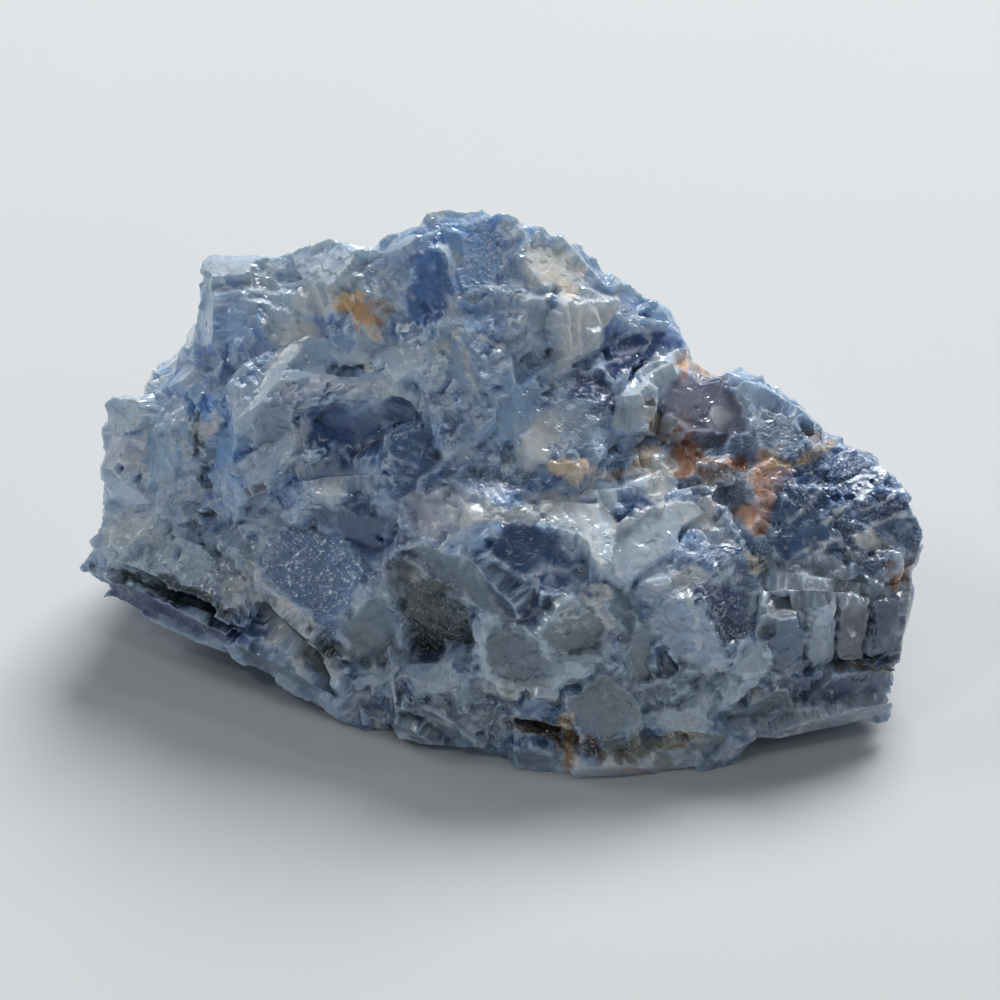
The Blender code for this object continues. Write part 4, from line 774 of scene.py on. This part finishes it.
def nearest(middles, points):
    """The number of the middle that is nearest to each point."""
    tree = KDTree(len(middles))
    for i, middle in enumerate(middles):
        tree.insert(middle, i)
    tree.balance()
    return np.array([tree.find(point)[1] for point in points])


def bricks(places, crystal, looseness):
    """The block of its crystal that each place is in: its address and its middle."""
    base = np.floor(places).astype(np.int64)
    best = np.full(len(places), np.inf)
    address = np.empty((len(places), 4), np.int64)
    middle = np.empty((len(places), 3))
    for step in itertools.product((-1, 0, 1), repeat=3):
        trial = np.column_stack([base + step, crystal])
        loose = np.column_stack([scatter(trial, salt) for salt in (1, 2, 3)]) - 0.5
        centre = trial[:, :3] + 0.5 + looseness * loose
        gap = np.abs(places - centre).max(axis=1)
        nearer = gap < best
        best[nearer] = gap[nearer]
        address[nearer] = trial[nearer]
        middle[nearer] = centre[nearer]
    return address, middle


def crystal_steps(points, found, crystal, size, looseness, tilt, waver):
    """How far each point moves to lie on its block's face, the way, the block's address and its own place."""
    middles, ways = found
    size = np.array(size)
    inverse = np.linalg.inv(ways)[crystal]
    inside = np.einsum("ni,nij->nj", points - middles[crystal], inverse)
    address, middle = bricks((inside + waver) / size, crystal, looseness)
    off = middle * size - inside
    lean = [(scatter(address, salt) - 0.5) * tilt for salt in (5, 6)]
    move = off[:, 2] + lean[0] * off[:, 0] + lean[1] * off[:, 1]
    return move, ways[crystal][:, 2], address, inside


def from_picture(places):
    """Places in the picture as places across and rises, in layout units."""
    return (np.array(places, float) - PICTURE_ORIGIN) / PICTURE_UNIT


def flat_places(points):
    return np.column_stack([points[:, 0], points @ UP_VIEW - FRONT_FOOT * math.sin(SIGHT)])


def hidden_depth(skin):
    """How far behind the visible front each point lies, along the line of sight."""
    tree = BVHTree.FromPolygons(skin.points.tolist(), skin.corners.tolist())
    back = Vector(-TO_CAMERA)
    depth = np.empty(len(skin.points))
    for i, point in enumerate(skin.points + TO_CAMERA * OUTSIDE):
        depth[i] = tree.ray_cast(Vector(point), back)[3] or OUTSIDE
    return OUTSIDE - depth


def polar(flat):
    """Each place's turn about the outline's middle, in radians, and its reach from there."""
    return np.arctan2(flat[:, 1], flat[:, 0]), np.linalg.norm(flat, axis=1)


def farthest(turn, reach):
    """The reach of the outermost points at each degree of turn, averaged over five degrees."""
    degrees = ((turn + math.pi) / math.radians(1.0)).astype(int) % 360
    far = np.zeros(360)
    np.maximum.at(far, degrees, reach)
    far = np.mean([np.roll(far, step) for step in range(-2, 3)], axis=0)
    return np.append(far, far[0])


def named_reach():
    """The turns of places along the named outline, in order, and their reaches."""
    corners = from_picture(OUTLINE)
    steps = np.linspace(0.0, 1.0, 12, endpoint=False)[:, None]
    edges = [a + (b - a) * steps for a, b in zip(corners, np.roll(corners, -1, axis=0))]
    turn, reach = polar(np.concatenate(edges) - from_picture(OUTLINE_MIDDLE))
    order = np.argsort(turn)
    return turn[order], reach[order]


def fit_outline(skin):
    """Draws the outer points in or out, across the view, until their outline is the named one."""
    flat = flat_places(skin.points) - from_picture(OUTLINE_MIDDLE)
    turn, reach = polar(flat)
    degrees = np.linspace(-math.pi, math.pi, 361) + math.radians(0.5)
    now = np.interp(turn, degrees, farthest(turn, reach))
    want = np.interp(turn, *named_reach(), period=2 * math.pi)
    share = ease(reach / now, 0.75, 1.0) * ease(skin.points[:, 2], 1.0, 5.0)
    drawn = np.clip(want - STEPS_ADD - now, -MOST_DRAWN, MOST_DRAWN) * share
    off = flat / np.maximum(reach, 1e-9)[:, None] * drawn[:, None]
    skin.points[:, 0] += off[:, 0]
    skin.points += UP_VIEW * off[:, 1:]


def patch_masks(flat, hidden):
    """The soft patches: each one's colour, finish and how much it covers each point."""
    near = 1.0 - ease(hidden, 4.0, 9.0)
    for x, v, wide, tall, turn, colour, share, finish in PATCHES.values():
        turn = math.radians(turn)
        along = (flat[:, 0] - x) * math.cos(turn) + (flat[:, 1] - v) * math.sin(turn)
        over = (flat[:, 1] - v) * math.cos(turn) - (flat[:, 0] - x) * math.sin(turn)
        gap = np.sqrt((along / wide) ** 2 + (over / tall) ** 2)
        yield colour, finish, share * near * (1.0 - ease(gap, 0.75, 1.4))


def line_gap(flat, start, end):
    """How far each place is from the line between start and end."""
    way = end - start
    share = np.clip((flat - start) @ way / max(way @ way, 1e-9), 0.0, 1.0)
    return np.linalg.norm(flat - start - share[:, None] * way, axis=1)


def border_gap(flat, corners):
    """How far each place is inside the corners' outline, and less than 0 outside it."""
    gap = np.full(len(flat), np.inf)
    inside = np.zeros(len(flat), bool)
    for start, end in zip(corners, np.roll(corners, -1, axis=0)):
        gap = np.minimum(gap, line_gap(flat, start, end))
        crossed = (start[1] > flat[:, 1]) != (end[1] > flat[:, 1])
        slope = (end[0] - start[0]) / ((end[1] - start[1]) or 1e-9)
        inside ^= crossed & (flat[:, 0] < start[0] + (flat[:, 1] - start[1]) * slope)
    return np.where(inside, gap, -gap)


def around(flat, hidden, corners, margin):
    """The points that may belong to a face or line with these corners."""
    low, high = corners.min(axis=0) - margin, corners.max(axis=0) + margin
    return np.flatnonzero(((flat > low) & (flat < high)).all(axis=1) & (hidden < 3.0))


def turned(normal, turn, lean):
    turn, lean = math.radians(turn), math.radians(lean)
    normal = Vector(normal)
    normal.rotate(Quaternion(Vector(UP_VIEW), turn))
    normal.rotate(Quaternion(Vector((1.0, 0.0, 0.0)), -lean))
    return np.array(normal)


def flatten(skin, index, cover, turn, lean, proud):
    """Draws the points under a face's cover to one plane, fitted to them and then turned."""
    points = skin.points[index]
    middle = cover @ points / cover.sum()
    off = points - middle
    normal = np.linalg.eigh((off * cover[:, None]).T @ off)[1][:, 0]
    normal *= np.sign(normal @ TO_CAMERA) or 1.0
    normal = turned(normal, turn, lean)
    most_out = max(MOST_FLATTENED, 3.0 * proud)
    move = np.clip((middle + normal * proud - points) @ normal, -MOST_FLATTENED, most_out)
    skin.points[index] += normal * (move * cover * 0.95)[:, None]


def blunt(skin, rounds, share):
    """Draws spikes back towards the points around them."""
    for _ in range(rounds):
        off = skin.points - skin.smoothed(skin.points, 1)
        spike = np.linalg.norm(off, axis=1)
        excess = np.maximum(spike - 0.1, 0.0) / np.maximum(spike, 1e-9)
        skin.points -= off * (excess * share)[:, None]


def lay(values, wanted, mask):
    """Draws the values towards the wanted ones, by the mask's share."""
    values += (np.array(wanted) - values) * mask[:, None]


def base_tone(points, address):
    """The stone's own mix of blues, greys and milky veils, all round."""
    own = scatter(address, 9)
    broad = cloud(points, 13.0, 1) + (own - 0.5) * 0.7
    middle = cloud(points, 5.0, 2) + (scatter(address, 8) - 0.5) * 0.6
    tone = np.tile(np.array(COLOURS["blue"]), (len(points), 1))
    lay(tone, COLOURS["deep"], ease(-broad, 0.1, 0.5))
    lay(tone, COLOURS["slate"], ease(broad, 0.0, 0.4) * 0.8)
    lay(tone, COLOURS["steel"], ease(middle, 0.05, 0.45) * 0.5)
    lay(tone, COLOURS["grey"], ease(cloud(points, 9.0, 3), 0.1, 0.45) * 0.4)
    lay(tone, COLOURS["milk"], ease(cloud(points, 4.0, 4) + 0.3 * own, 0.35, 0.7) * 0.45)
    return tone


def lay_patches(start, hidden, address):
    """The colours and finishes of the stone and its soft patches."""
    tone = base_tone(start + drift(start, 2.2, 5) * 0.6, address)
    finish = np.tile(np.array(FINISHES["glassy"]), (len(start), 1))
    for kind, seed in (("stepped", 6), ("sugary", 9)):
        lay(finish, FINISHES[kind], ease(cloud(start, 7.0, seed), 0.05, 0.35))
    ragged = start + drift(start, 3.4, 7) * 2.2 + drift(start, 1.1, 8) * 0.9
    for colour, kind, mask in patch_masks(flat_places(ragged), hidden):
        lay(tone, COLOURS[colour], mask)
        lay(finish, FINISHES[kind], np.minimum(mask * 1.4, 1.0))
    return tone, finish


def lay_faces(skin, flat, hidden, calm, tone, finish):
    """Shapes and colours the named faces. Returns how much they cover, and their rims, which later get a
    painted highlight.
    """
    cover_all, rim_highlight_all = np.zeros(len(flat)), np.zeros(len(flat))
    ragged = cloud(skin.points, 1.6, 21) * 0.15
    uneven = 0.85 + 0.3 * np.clip(cloud(skin.points, 3.5, 24, 4), -1.0, 0.5)
    near = 1.0 - ease(hidden, 1.5, 3.0)
    specks = 0.3 + 0.7 * ease(cloud(skin.points, 1.0, 26, 4), -0.25, 0.35)
    ways = np.random.default_rng(SEED).uniform(0.0, 2 * math.pi, len(FACES))
    for way, (colour, share, kind, turn, lean, proud, corners) in zip(ways, FACES.values()):
        corners = from_picture(corners)
        index = around(flat, hidden, corners, 1.0)
        gap = border_gap(flat[index], corners) + ragged[index]
        cover = ease(gap, -0.15, 0.15) * near[index]
        if cover.sum() < 3:
            continue
        flatten(skin, index, cover * calm[index], turn, lean, proud)
        # How much of the face's colour is laid; for near-black faces that is painted shade, for white glint
        # faces a painted highlight.
        colour_share = ease(gap, -0.6, 0.7) * near[index] * share * uneven[index]
        if kind == "dull":
            colour_share *= specks[index]
        along = (flat[index] - corners.mean(axis=0)) @ (math.cos(way), math.sin(way))
        shade = 1.0 + 0.35 * np.clip(along / np.abs(along).max(), -1.0, 1.0) * cover
        tone[index] += (np.array(COLOURS[colour]) - tone[index]) * colour_share[:, None]
        tone[index] *= shade[:, None]
        finish[index] += (np.array(FINISHES[kind]) - finish[index]) * cover[:, None]
        cover_all[index] = np.maximum(cover_all[index], cover)
        # Each face's rim, for a painted highlight later.
        rim_highlight_all[index] = np.maximum(rim_highlight_all[index] * (1 - cover), 1.0 - ease(np.abs(gap), 0.1, 0.5))
    return cover_all, rim_highlight_all


def lay_lines(skin, flat, hidden, tone, finish):
    """Raises or cuts the named lines, and colours them."""
    out = unit(skin.smoothed(skin.normals(), 6))
    ragged = cloud(skin.points, 1.0, 22) * 0.15
    broken = 0.25 + 0.75 * ease(cloud(skin.points, 1.2, 25), -0.35, 0.25)
    near = 1.0 - ease(hidden, 1.5, 3.0)
    for colour, share, width, height, places in LINES.values():
        places = from_picture(places)
        index = around(flat, hidden, places, width + 1.0)
        gap = np.full(len(index), np.inf)
        for start, end in zip(places, places[1:]):
            gap = np.minimum(gap, line_gap(flat[index], start, end))
        gap += ragged[index]
        cover = (1.0 - ease(gap, width / 2, width / 2 + 0.3)) * near[index] * broken[index]
        rise = (1.0 - ease(gap, 0.0, width / 2 + 0.4)) * near[index] * height * LINE_RELIEF
        skin.points[index] += out[index] * rise[:, None]
        tone[index] += (np.array(COLOURS[colour]) - tone[index]) * (cover * share)[:, None]
        finish[index, ROUGH] += (LINE_ROUGHNESS - finish[index, ROUGH]) * cover


def veins_with_painted_light_and_shade(skin, start, wavy, rim_highlight, own, tone):
    """White veins, painted highlights on ridges and rims, and painted shade in hollows and recesses."""
    vein = 1.0 - ease(np.abs(cloud(wavy, 8.0, 31, 4)), 0.0, 0.14)
    lay(tone, COLOURS["white"], vein * ease(cloud(start, 9.0, 33), -0.2, 0.4) * 0.35)
    small, broad = skin.depth(10), skin.depth(60)
    # Painted highlights: milk laid on small ridges and on the faces' rims.
    lay(tone, COLOURS["milk"], ease(-small, 0.12, 0.3) * 0.3)
    lay(tone, COLOURS["milk"], rim_highlight * ease(cloud(start, 3.0, 23), 0.0, 0.5) * 0.3)
    # Painted shade: darker in small hollows and broad recesses, and a painted lift on broad ridges.
    tone *= 1.0 - 0.4 * ease(small, 0.12, 0.5)[:, None]
    tone *= 1.0 - 0.5 * ease(broad, 0.1, 1.2)[:, None] + 0.3 * ease(-broad, 0.1, 1.0)[:, None]
    tone *= (0.88 + 0.24 * own)[:, None]


def graded_with_painted_light(tone, flat, hidden):
    """The colours with painted light: the front brightened, most at its top and left end, painted shade on
    its foot at the right, and a darker, bluer back.
    """
    across, rise = flat.T
    # Painted light: the front, which the key light misses, is brightened, more towards its top and its left
    # end.
    painted_light_and_shade = 1.42 + 0.2 * ease(rise, 12.0, 30.0) + 1.2 * ease(rise, 36.0, 62.0)
    painted_light_and_shade += 1.1 * ease(-across, 22.0, 40.0) * ease(rise, 22.0, 34.0)
    # Painted shade: the foot at the right is kept darker.
    painted_light_and_shade -= 0.5 * ease(across, 24.0, 36.0) * (1.0 - ease(rise, 22.0, 40.0))
    far = ease(hidden, 0.4, 3.0)[:, None]
    tone = np.maximum(tone, 0.004)
    greyer = tone + 0.22 * (tone.mean(axis=1, keepdims=True) - tone)
    front_tone_painted_light = greyer**1.2 * painted_light_and_shade[:, None] * 1.53
    # The back, where the key light falls, keeps a darker, bluer colour than the brightened front.
    back_tone_darker_bluer = tone ** (1.5, 1.35, 1.2) * (0.9, 0.85, 0.9)
    tone = front_tone_painted_light * (1.0 - far) + back_tone_darker_bluer * far
    return tone / np.maximum(tone.max(axis=1, keepdims=True) / 0.95, 1.0)


def store(mesh, tone, finish, lines):
    """Keeps the material's values on the mesh's points."""
    rows = np.column_stack([tone, np.ones(len(tone))])
    mesh.attributes.new("tone", "FLOAT_COLOR", "POINT").data.foreach_set("color", rows.ravel())
    for name, values in (("rough", finish[:, ROUGH]), ("spark", finish[:, SPARK])):
        mesh.attributes.new(name, "FLOAT", "POINT").data.foreach_set("value", values)
    mesh.attributes.new("grain", "FLOAT_VECTOR", "POINT").data.foreach_set("vector", lines.ravel())


def break_and_colour(skin):
    """Breaks the skin into crystals, faces and steps, and gives it its colours, painted light and shade among
    them.
    """
    start = skin.points.copy()
    hidden = hidden_depth(skin)
    flat = flat_places(start + drift(start, 1.5, 4) * 0.3)
    wavy = start + drift(start, 4.0, 1) * 1.6 + drift(start, 1.3, 2) * 0.5
    waver = drift(start, 1.2, 3) * 0.25
    rng = np.random.default_rng(SEED)
    wide_normals = unit(skin.smoothed(skin.normals(), 12))
    found = crystals(rng, start, wide_normals, BIG_CRYSTALS, 0.22)
    crystal = nearest(found[0], wavy)
    coarse = crystal_steps(start, found, crystal, COARSE_BLOCK, 0.7, 0.4, waver * 2)
    tone, finish = lay_patches(start, hidden, coarse[2])

    facing = ease((skin.smoothed(skin.normals(), 2) * coarse[1]).sum(1), 0.15, 0.7)
    broad_normals = unit(skin.smoothed(wide_normals, 30))
    calm = skin.smoothed(ease(np.abs(broad_normals @ TO_CAMERA), 0.15, 0.5), 20)
    cover, rim_highlight = lay_faces(skin, flat, hidden, 0.1 + 0.9 * calm, tone, finish)
    finish = skin.smoothed(finish, 1)
    facing *= 1.0 - 0.8 * cover
    facing *= 0.1 + 0.9 * calm
    skin.points += coarse[1] * (coarse[0] * facing * finish[:, COARSE] * 0.8)[:, None]
    middle = crystal_steps(skin.points, found, crystal, MIDDLE_BLOCK, 0.7, 0.3, waver)
    skin.points += middle[1] * (middle[0] * facing * finish[:, MIDDLE] * 0.45)[:, None]
    small = crystals(rng, start, wide_normals, SMALL_CRYSTALS, 0.4)
    fine = crystal_steps(skin.points, small, nearest(small[0], wavy), FINE_BLOCK, 0.8, 0.6, 0.0)
    skin.points += fine[1] * (fine[0] * finish[:, FINE] * calm * 0.3)[:, None]
    blunt(skin, 1, 1.0)
    blunt(skin, 5, 1.0 - calm)
    lay_lines(skin, flat, hidden, tone, finish)

    veins_with_painted_light_and_shade(skin, start, wavy, rim_highlight, scatter(middle[2], 4), tone)
    lines = coarse[3] * np.array((0.25, 2.2, 2.2)) + (crystal * 7.7)[:, None]
    skin.write()
    store(skin.mesh, graded_with_painted_light(tone, flat, hidden), finish, lines)


def shape_stone(stone):
    skin = Skin(stone.data)
    fit_outline(skin)
    skin.write()
    thin(stone, HIDDEN_SHARE, hidden_depth(skin) < 2.5)
    break_and_colour(Skin(stone.data))
    thin(stone, FINAL_TRIANGLES / len(stone.data.polygons))
    mesh = stone.data
    mesh.polygons.foreach_set("use_smooth", [True] * len(mesh.polygons))
    mesh.set_sharp_from_angle(angle=SHARP)


class Nodes:
    """Short calls for a material's nodes."""

    def __init__(self, name):
        self.material = bpy.data.materials.new(name)
        self.material.use_nodes = True
        self.tree = self.material.node_tree
        self.bsdf = self.tree.nodes["Principled BSDF"]
        coordinates = self.tree.nodes.new("ShaderNodeTexCoord")
        self.mm = self.scaled(coordinates.outputs["Object"], 1000.0)

    def link(self, value, socket):
        if isinstance(value, bpy.types.NodeSocket):
            self.tree.links.new(value, socket)
        else:
            socket.default_value = value

    def math(self, operation, a, b):
        node = self.tree.nodes.new("ShaderNodeMath")
        node.operation = operation
        self.link(a, node.inputs[0])
        self.link(b, node.inputs[1])
        return node.outputs[0]

    def times(self, a, b):
        return self.math("MULTIPLY", a, b)

    def scaled(self, vector, scale):
        node = self.tree.nodes.new("ShaderNodeVectorMath")
        node.operation = "SCALE"
        self.link(vector, node.inputs[0])
        self.link(scale, node.inputs["Scale"])
        return node.outputs["Vector"]

    def noise(self, scale, detail, rough=0.5, warp=0.0, at=None):
        node = self.tree.nodes.new("ShaderNodeTexNoise")
        self.link(at or self.mm, node.inputs["Vector"])
        node.inputs["Scale"].default_value = scale
        node.inputs["Detail"].default_value = detail
        node.inputs["Roughness"].default_value = rough
        node.inputs["Distortion"].default_value = warp
        return node.outputs["Fac"]

    def ramp(self, value, low, high, to=(0.0, 1.0)):
        node = self.tree.nodes.new("ShaderNodeMapRange")
        node.interpolation_type = "SMOOTHSTEP"
        self.link(value, node.inputs["Value"])
        self.link(low, node.inputs["From Min"])
        self.link(high, node.inputs["From Max"])
        self.link(to[0], node.inputs["To Min"])
        self.link(to[1], node.inputs["To Max"])
        return node.outputs["Result"]

    def mix(self, share, a, b):
        node = self.tree.nodes.new("ShaderNodeMix")
        node.data_type = "RGBA"
        self.link(share, node.inputs["Factor"])
        self.link(a, next(s for s in node.inputs if s.name == "A" and s.type == "RGBA"))
        self.link(b, next(s for s in node.inputs if s.name == "B" and s.type == "RGBA"))
        return next(s for s in node.outputs if s.type == "RGBA")

    def attribute(self, name, output="Fac"):
        node = self.tree.nodes.new("ShaderNodeAttribute")
        node.attribute_name = name
        return node.outputs[output]


def calcite_material():
    n = Nodes("blue calcite")
    tone = n.attribute("tone", "Color")
    fine = n.noise(1.1, 5.0, 0.65, 0.8)
    tone = n.mix(n.ramp(fine, 0.35, 0.65), n.scaled(tone, 0.92), n.scaled(tone, 1.1))

    lines = n.noise(1.5, 5.0, 0.62, 0.3, n.attribute("grain", "Vector"))
    bunch = n.ramp(n.noise(0.22, 3.0, 0.6, 0.6), 0.5, 0.64)
    streak = n.times(n.ramp(lines, 0.52, 0.66), n.ramp(fine, 0.38, 0.56))
    tone = n.mix(n.times(streak, n.times(bunch, 0.7)), tone, VEIN_BLUE)

    grit = n.math("ADD", n.times(n.noise(3.0, 4.0, 0.7, 0.4), 0.55), n.times(lines, 0.45))
    # Sparkle clusters: white flecks, partly white grains and partly painted glitter highlights, and dark
    # specks that are painted shade in tiny pits.
    sparkle_clusters = n.times(n.attribute("spark"), n.ramp(n.noise(0.35, 4.0, 0.65, 0.5), 0.4, 0.56))
    flecks_and_painted_glitter = n.times(n.ramp(grit, 0.505, 0.575), sparkle_clusters)
    pit_shade = n.times(n.ramp(grit, 0.46, 0.38), sparkle_clusters)
    tone = n.mix(n.times(flecks_and_painted_glitter, 0.9), tone, FLECK_AND_GLITTER_WHITE)
    tone = n.mix(n.times(pit_shade, 0.28), tone, PIT_SHADE_BLUE)
    n.link(tone, n.bsdf.inputs["Base Color"])
    rough = n.times(n.attribute("rough"), n.ramp(fine, 0.3, 0.7, (0.7, 1.5)))
    n.link(rough, n.bsdf.inputs["Roughness"])

    ripple = n.times(n.noise(0.5, 3.0, 0.5, 0.6), 0.1)
    rise = n.math("ADD", ripple, n.times(grit, n.times(sparkle_clusters, 0.25)))
    rise = n.math("ADD", rise, n.times(lines, 0.04))
    bump = n.tree.nodes.new("ShaderNodeBump")
    bump.inputs["Distance"].default_value = MM
    n.link(rise, bump.inputs["Height"])
    n.link(bump.outputs["Normal"], n.bsdf.inputs["Normal"])
    for name, value in SURFACE.items():
        n.bsdf.inputs[name].default_value = value
    return n.material


def add_floor():
    mesh = bpy.data.meshes.new("floor")
    mesh.from_pydata([(-3, -3, 0), (3, -3, 0), (3, 3, 0), (-3, 3, 0)], [], [(0, 1, 2, 3)])
    floor = bpy.data.objects.new("floor", mesh)
    bpy.context.scene.collection.objects.link(floor)
    n = Nodes("pale floor")
    n.link(n.mix(n.noise(0.01, 2.0), *FLOOR_TONES), n.bsdf.inputs["Base Color"])
    n.bsdf.inputs["Roughness"].default_value = 0.9
    mesh.materials.append(n.material)


def add_lights():
    world = bpy.data.worlds.new("studio")
    world.use_nodes = True
    background = world.node_tree.nodes["Background"]
    background.inputs["Color"].default_value = SKY_TONE
    background.inputs["Strength"].default_value = SKY_STRENGTH
    bpy.context.scene.world = world
    for name, (place, size, power) in LIGHTS.items():
        light = bpy.data.lights.new(name, "AREA")
        light.shape = "DISK"
        light.size = size
        light.energy = power
        made = bpy.data.objects.new(name, light)
        made.location = place
        made.rotation_euler = (-Vector(place)).to_track_quat("-Z", "Y").to_euler()
        bpy.context.scene.collection.objects.link(made)


def add_camera():
    camera = bpy.data.cameras.new("camera")
    made = bpy.data.objects.new("camera", camera)
    bpy.context.scene.collection.objects.link(made)
    rise = PICTURE_MIDDLE[1] + FRONT_FOOT * math.sin(SIGHT) - LAYOUT_MIDDLE @ UP_VIEW
    target = np.array((PICTURE_MIDDLE[0] - LAYOUT_MIDDLE[0], 0, 0)) + UP_VIEW * rise
    made.location = target * LAYOUT_UNIT + TO_CAMERA * CAMERA_DISTANCE
    made.rotation_euler = Vector(TO_CAMERA).to_track_quat("Z", "Y").to_euler()
    camera.sensor_width = SENSOR_MM
    camera.lens = SENSOR_MM * CAMERA_DISTANCE / (PICTURE_ACROSS * LAYOUT_UNIT)
    camera.clip_start = 0.01
    bpy.context.scene.camera = made


noise.seed_set(SEED)
stone = even_copy(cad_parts["calcite"])
shape_stone(stone)
stone.data.materials.append(calcite_material())
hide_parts("calcite")
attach(stone, "root")
add_floor()
add_lights()
add_camera()
bpy.context.scene.view_settings.view_transform = "Standard"
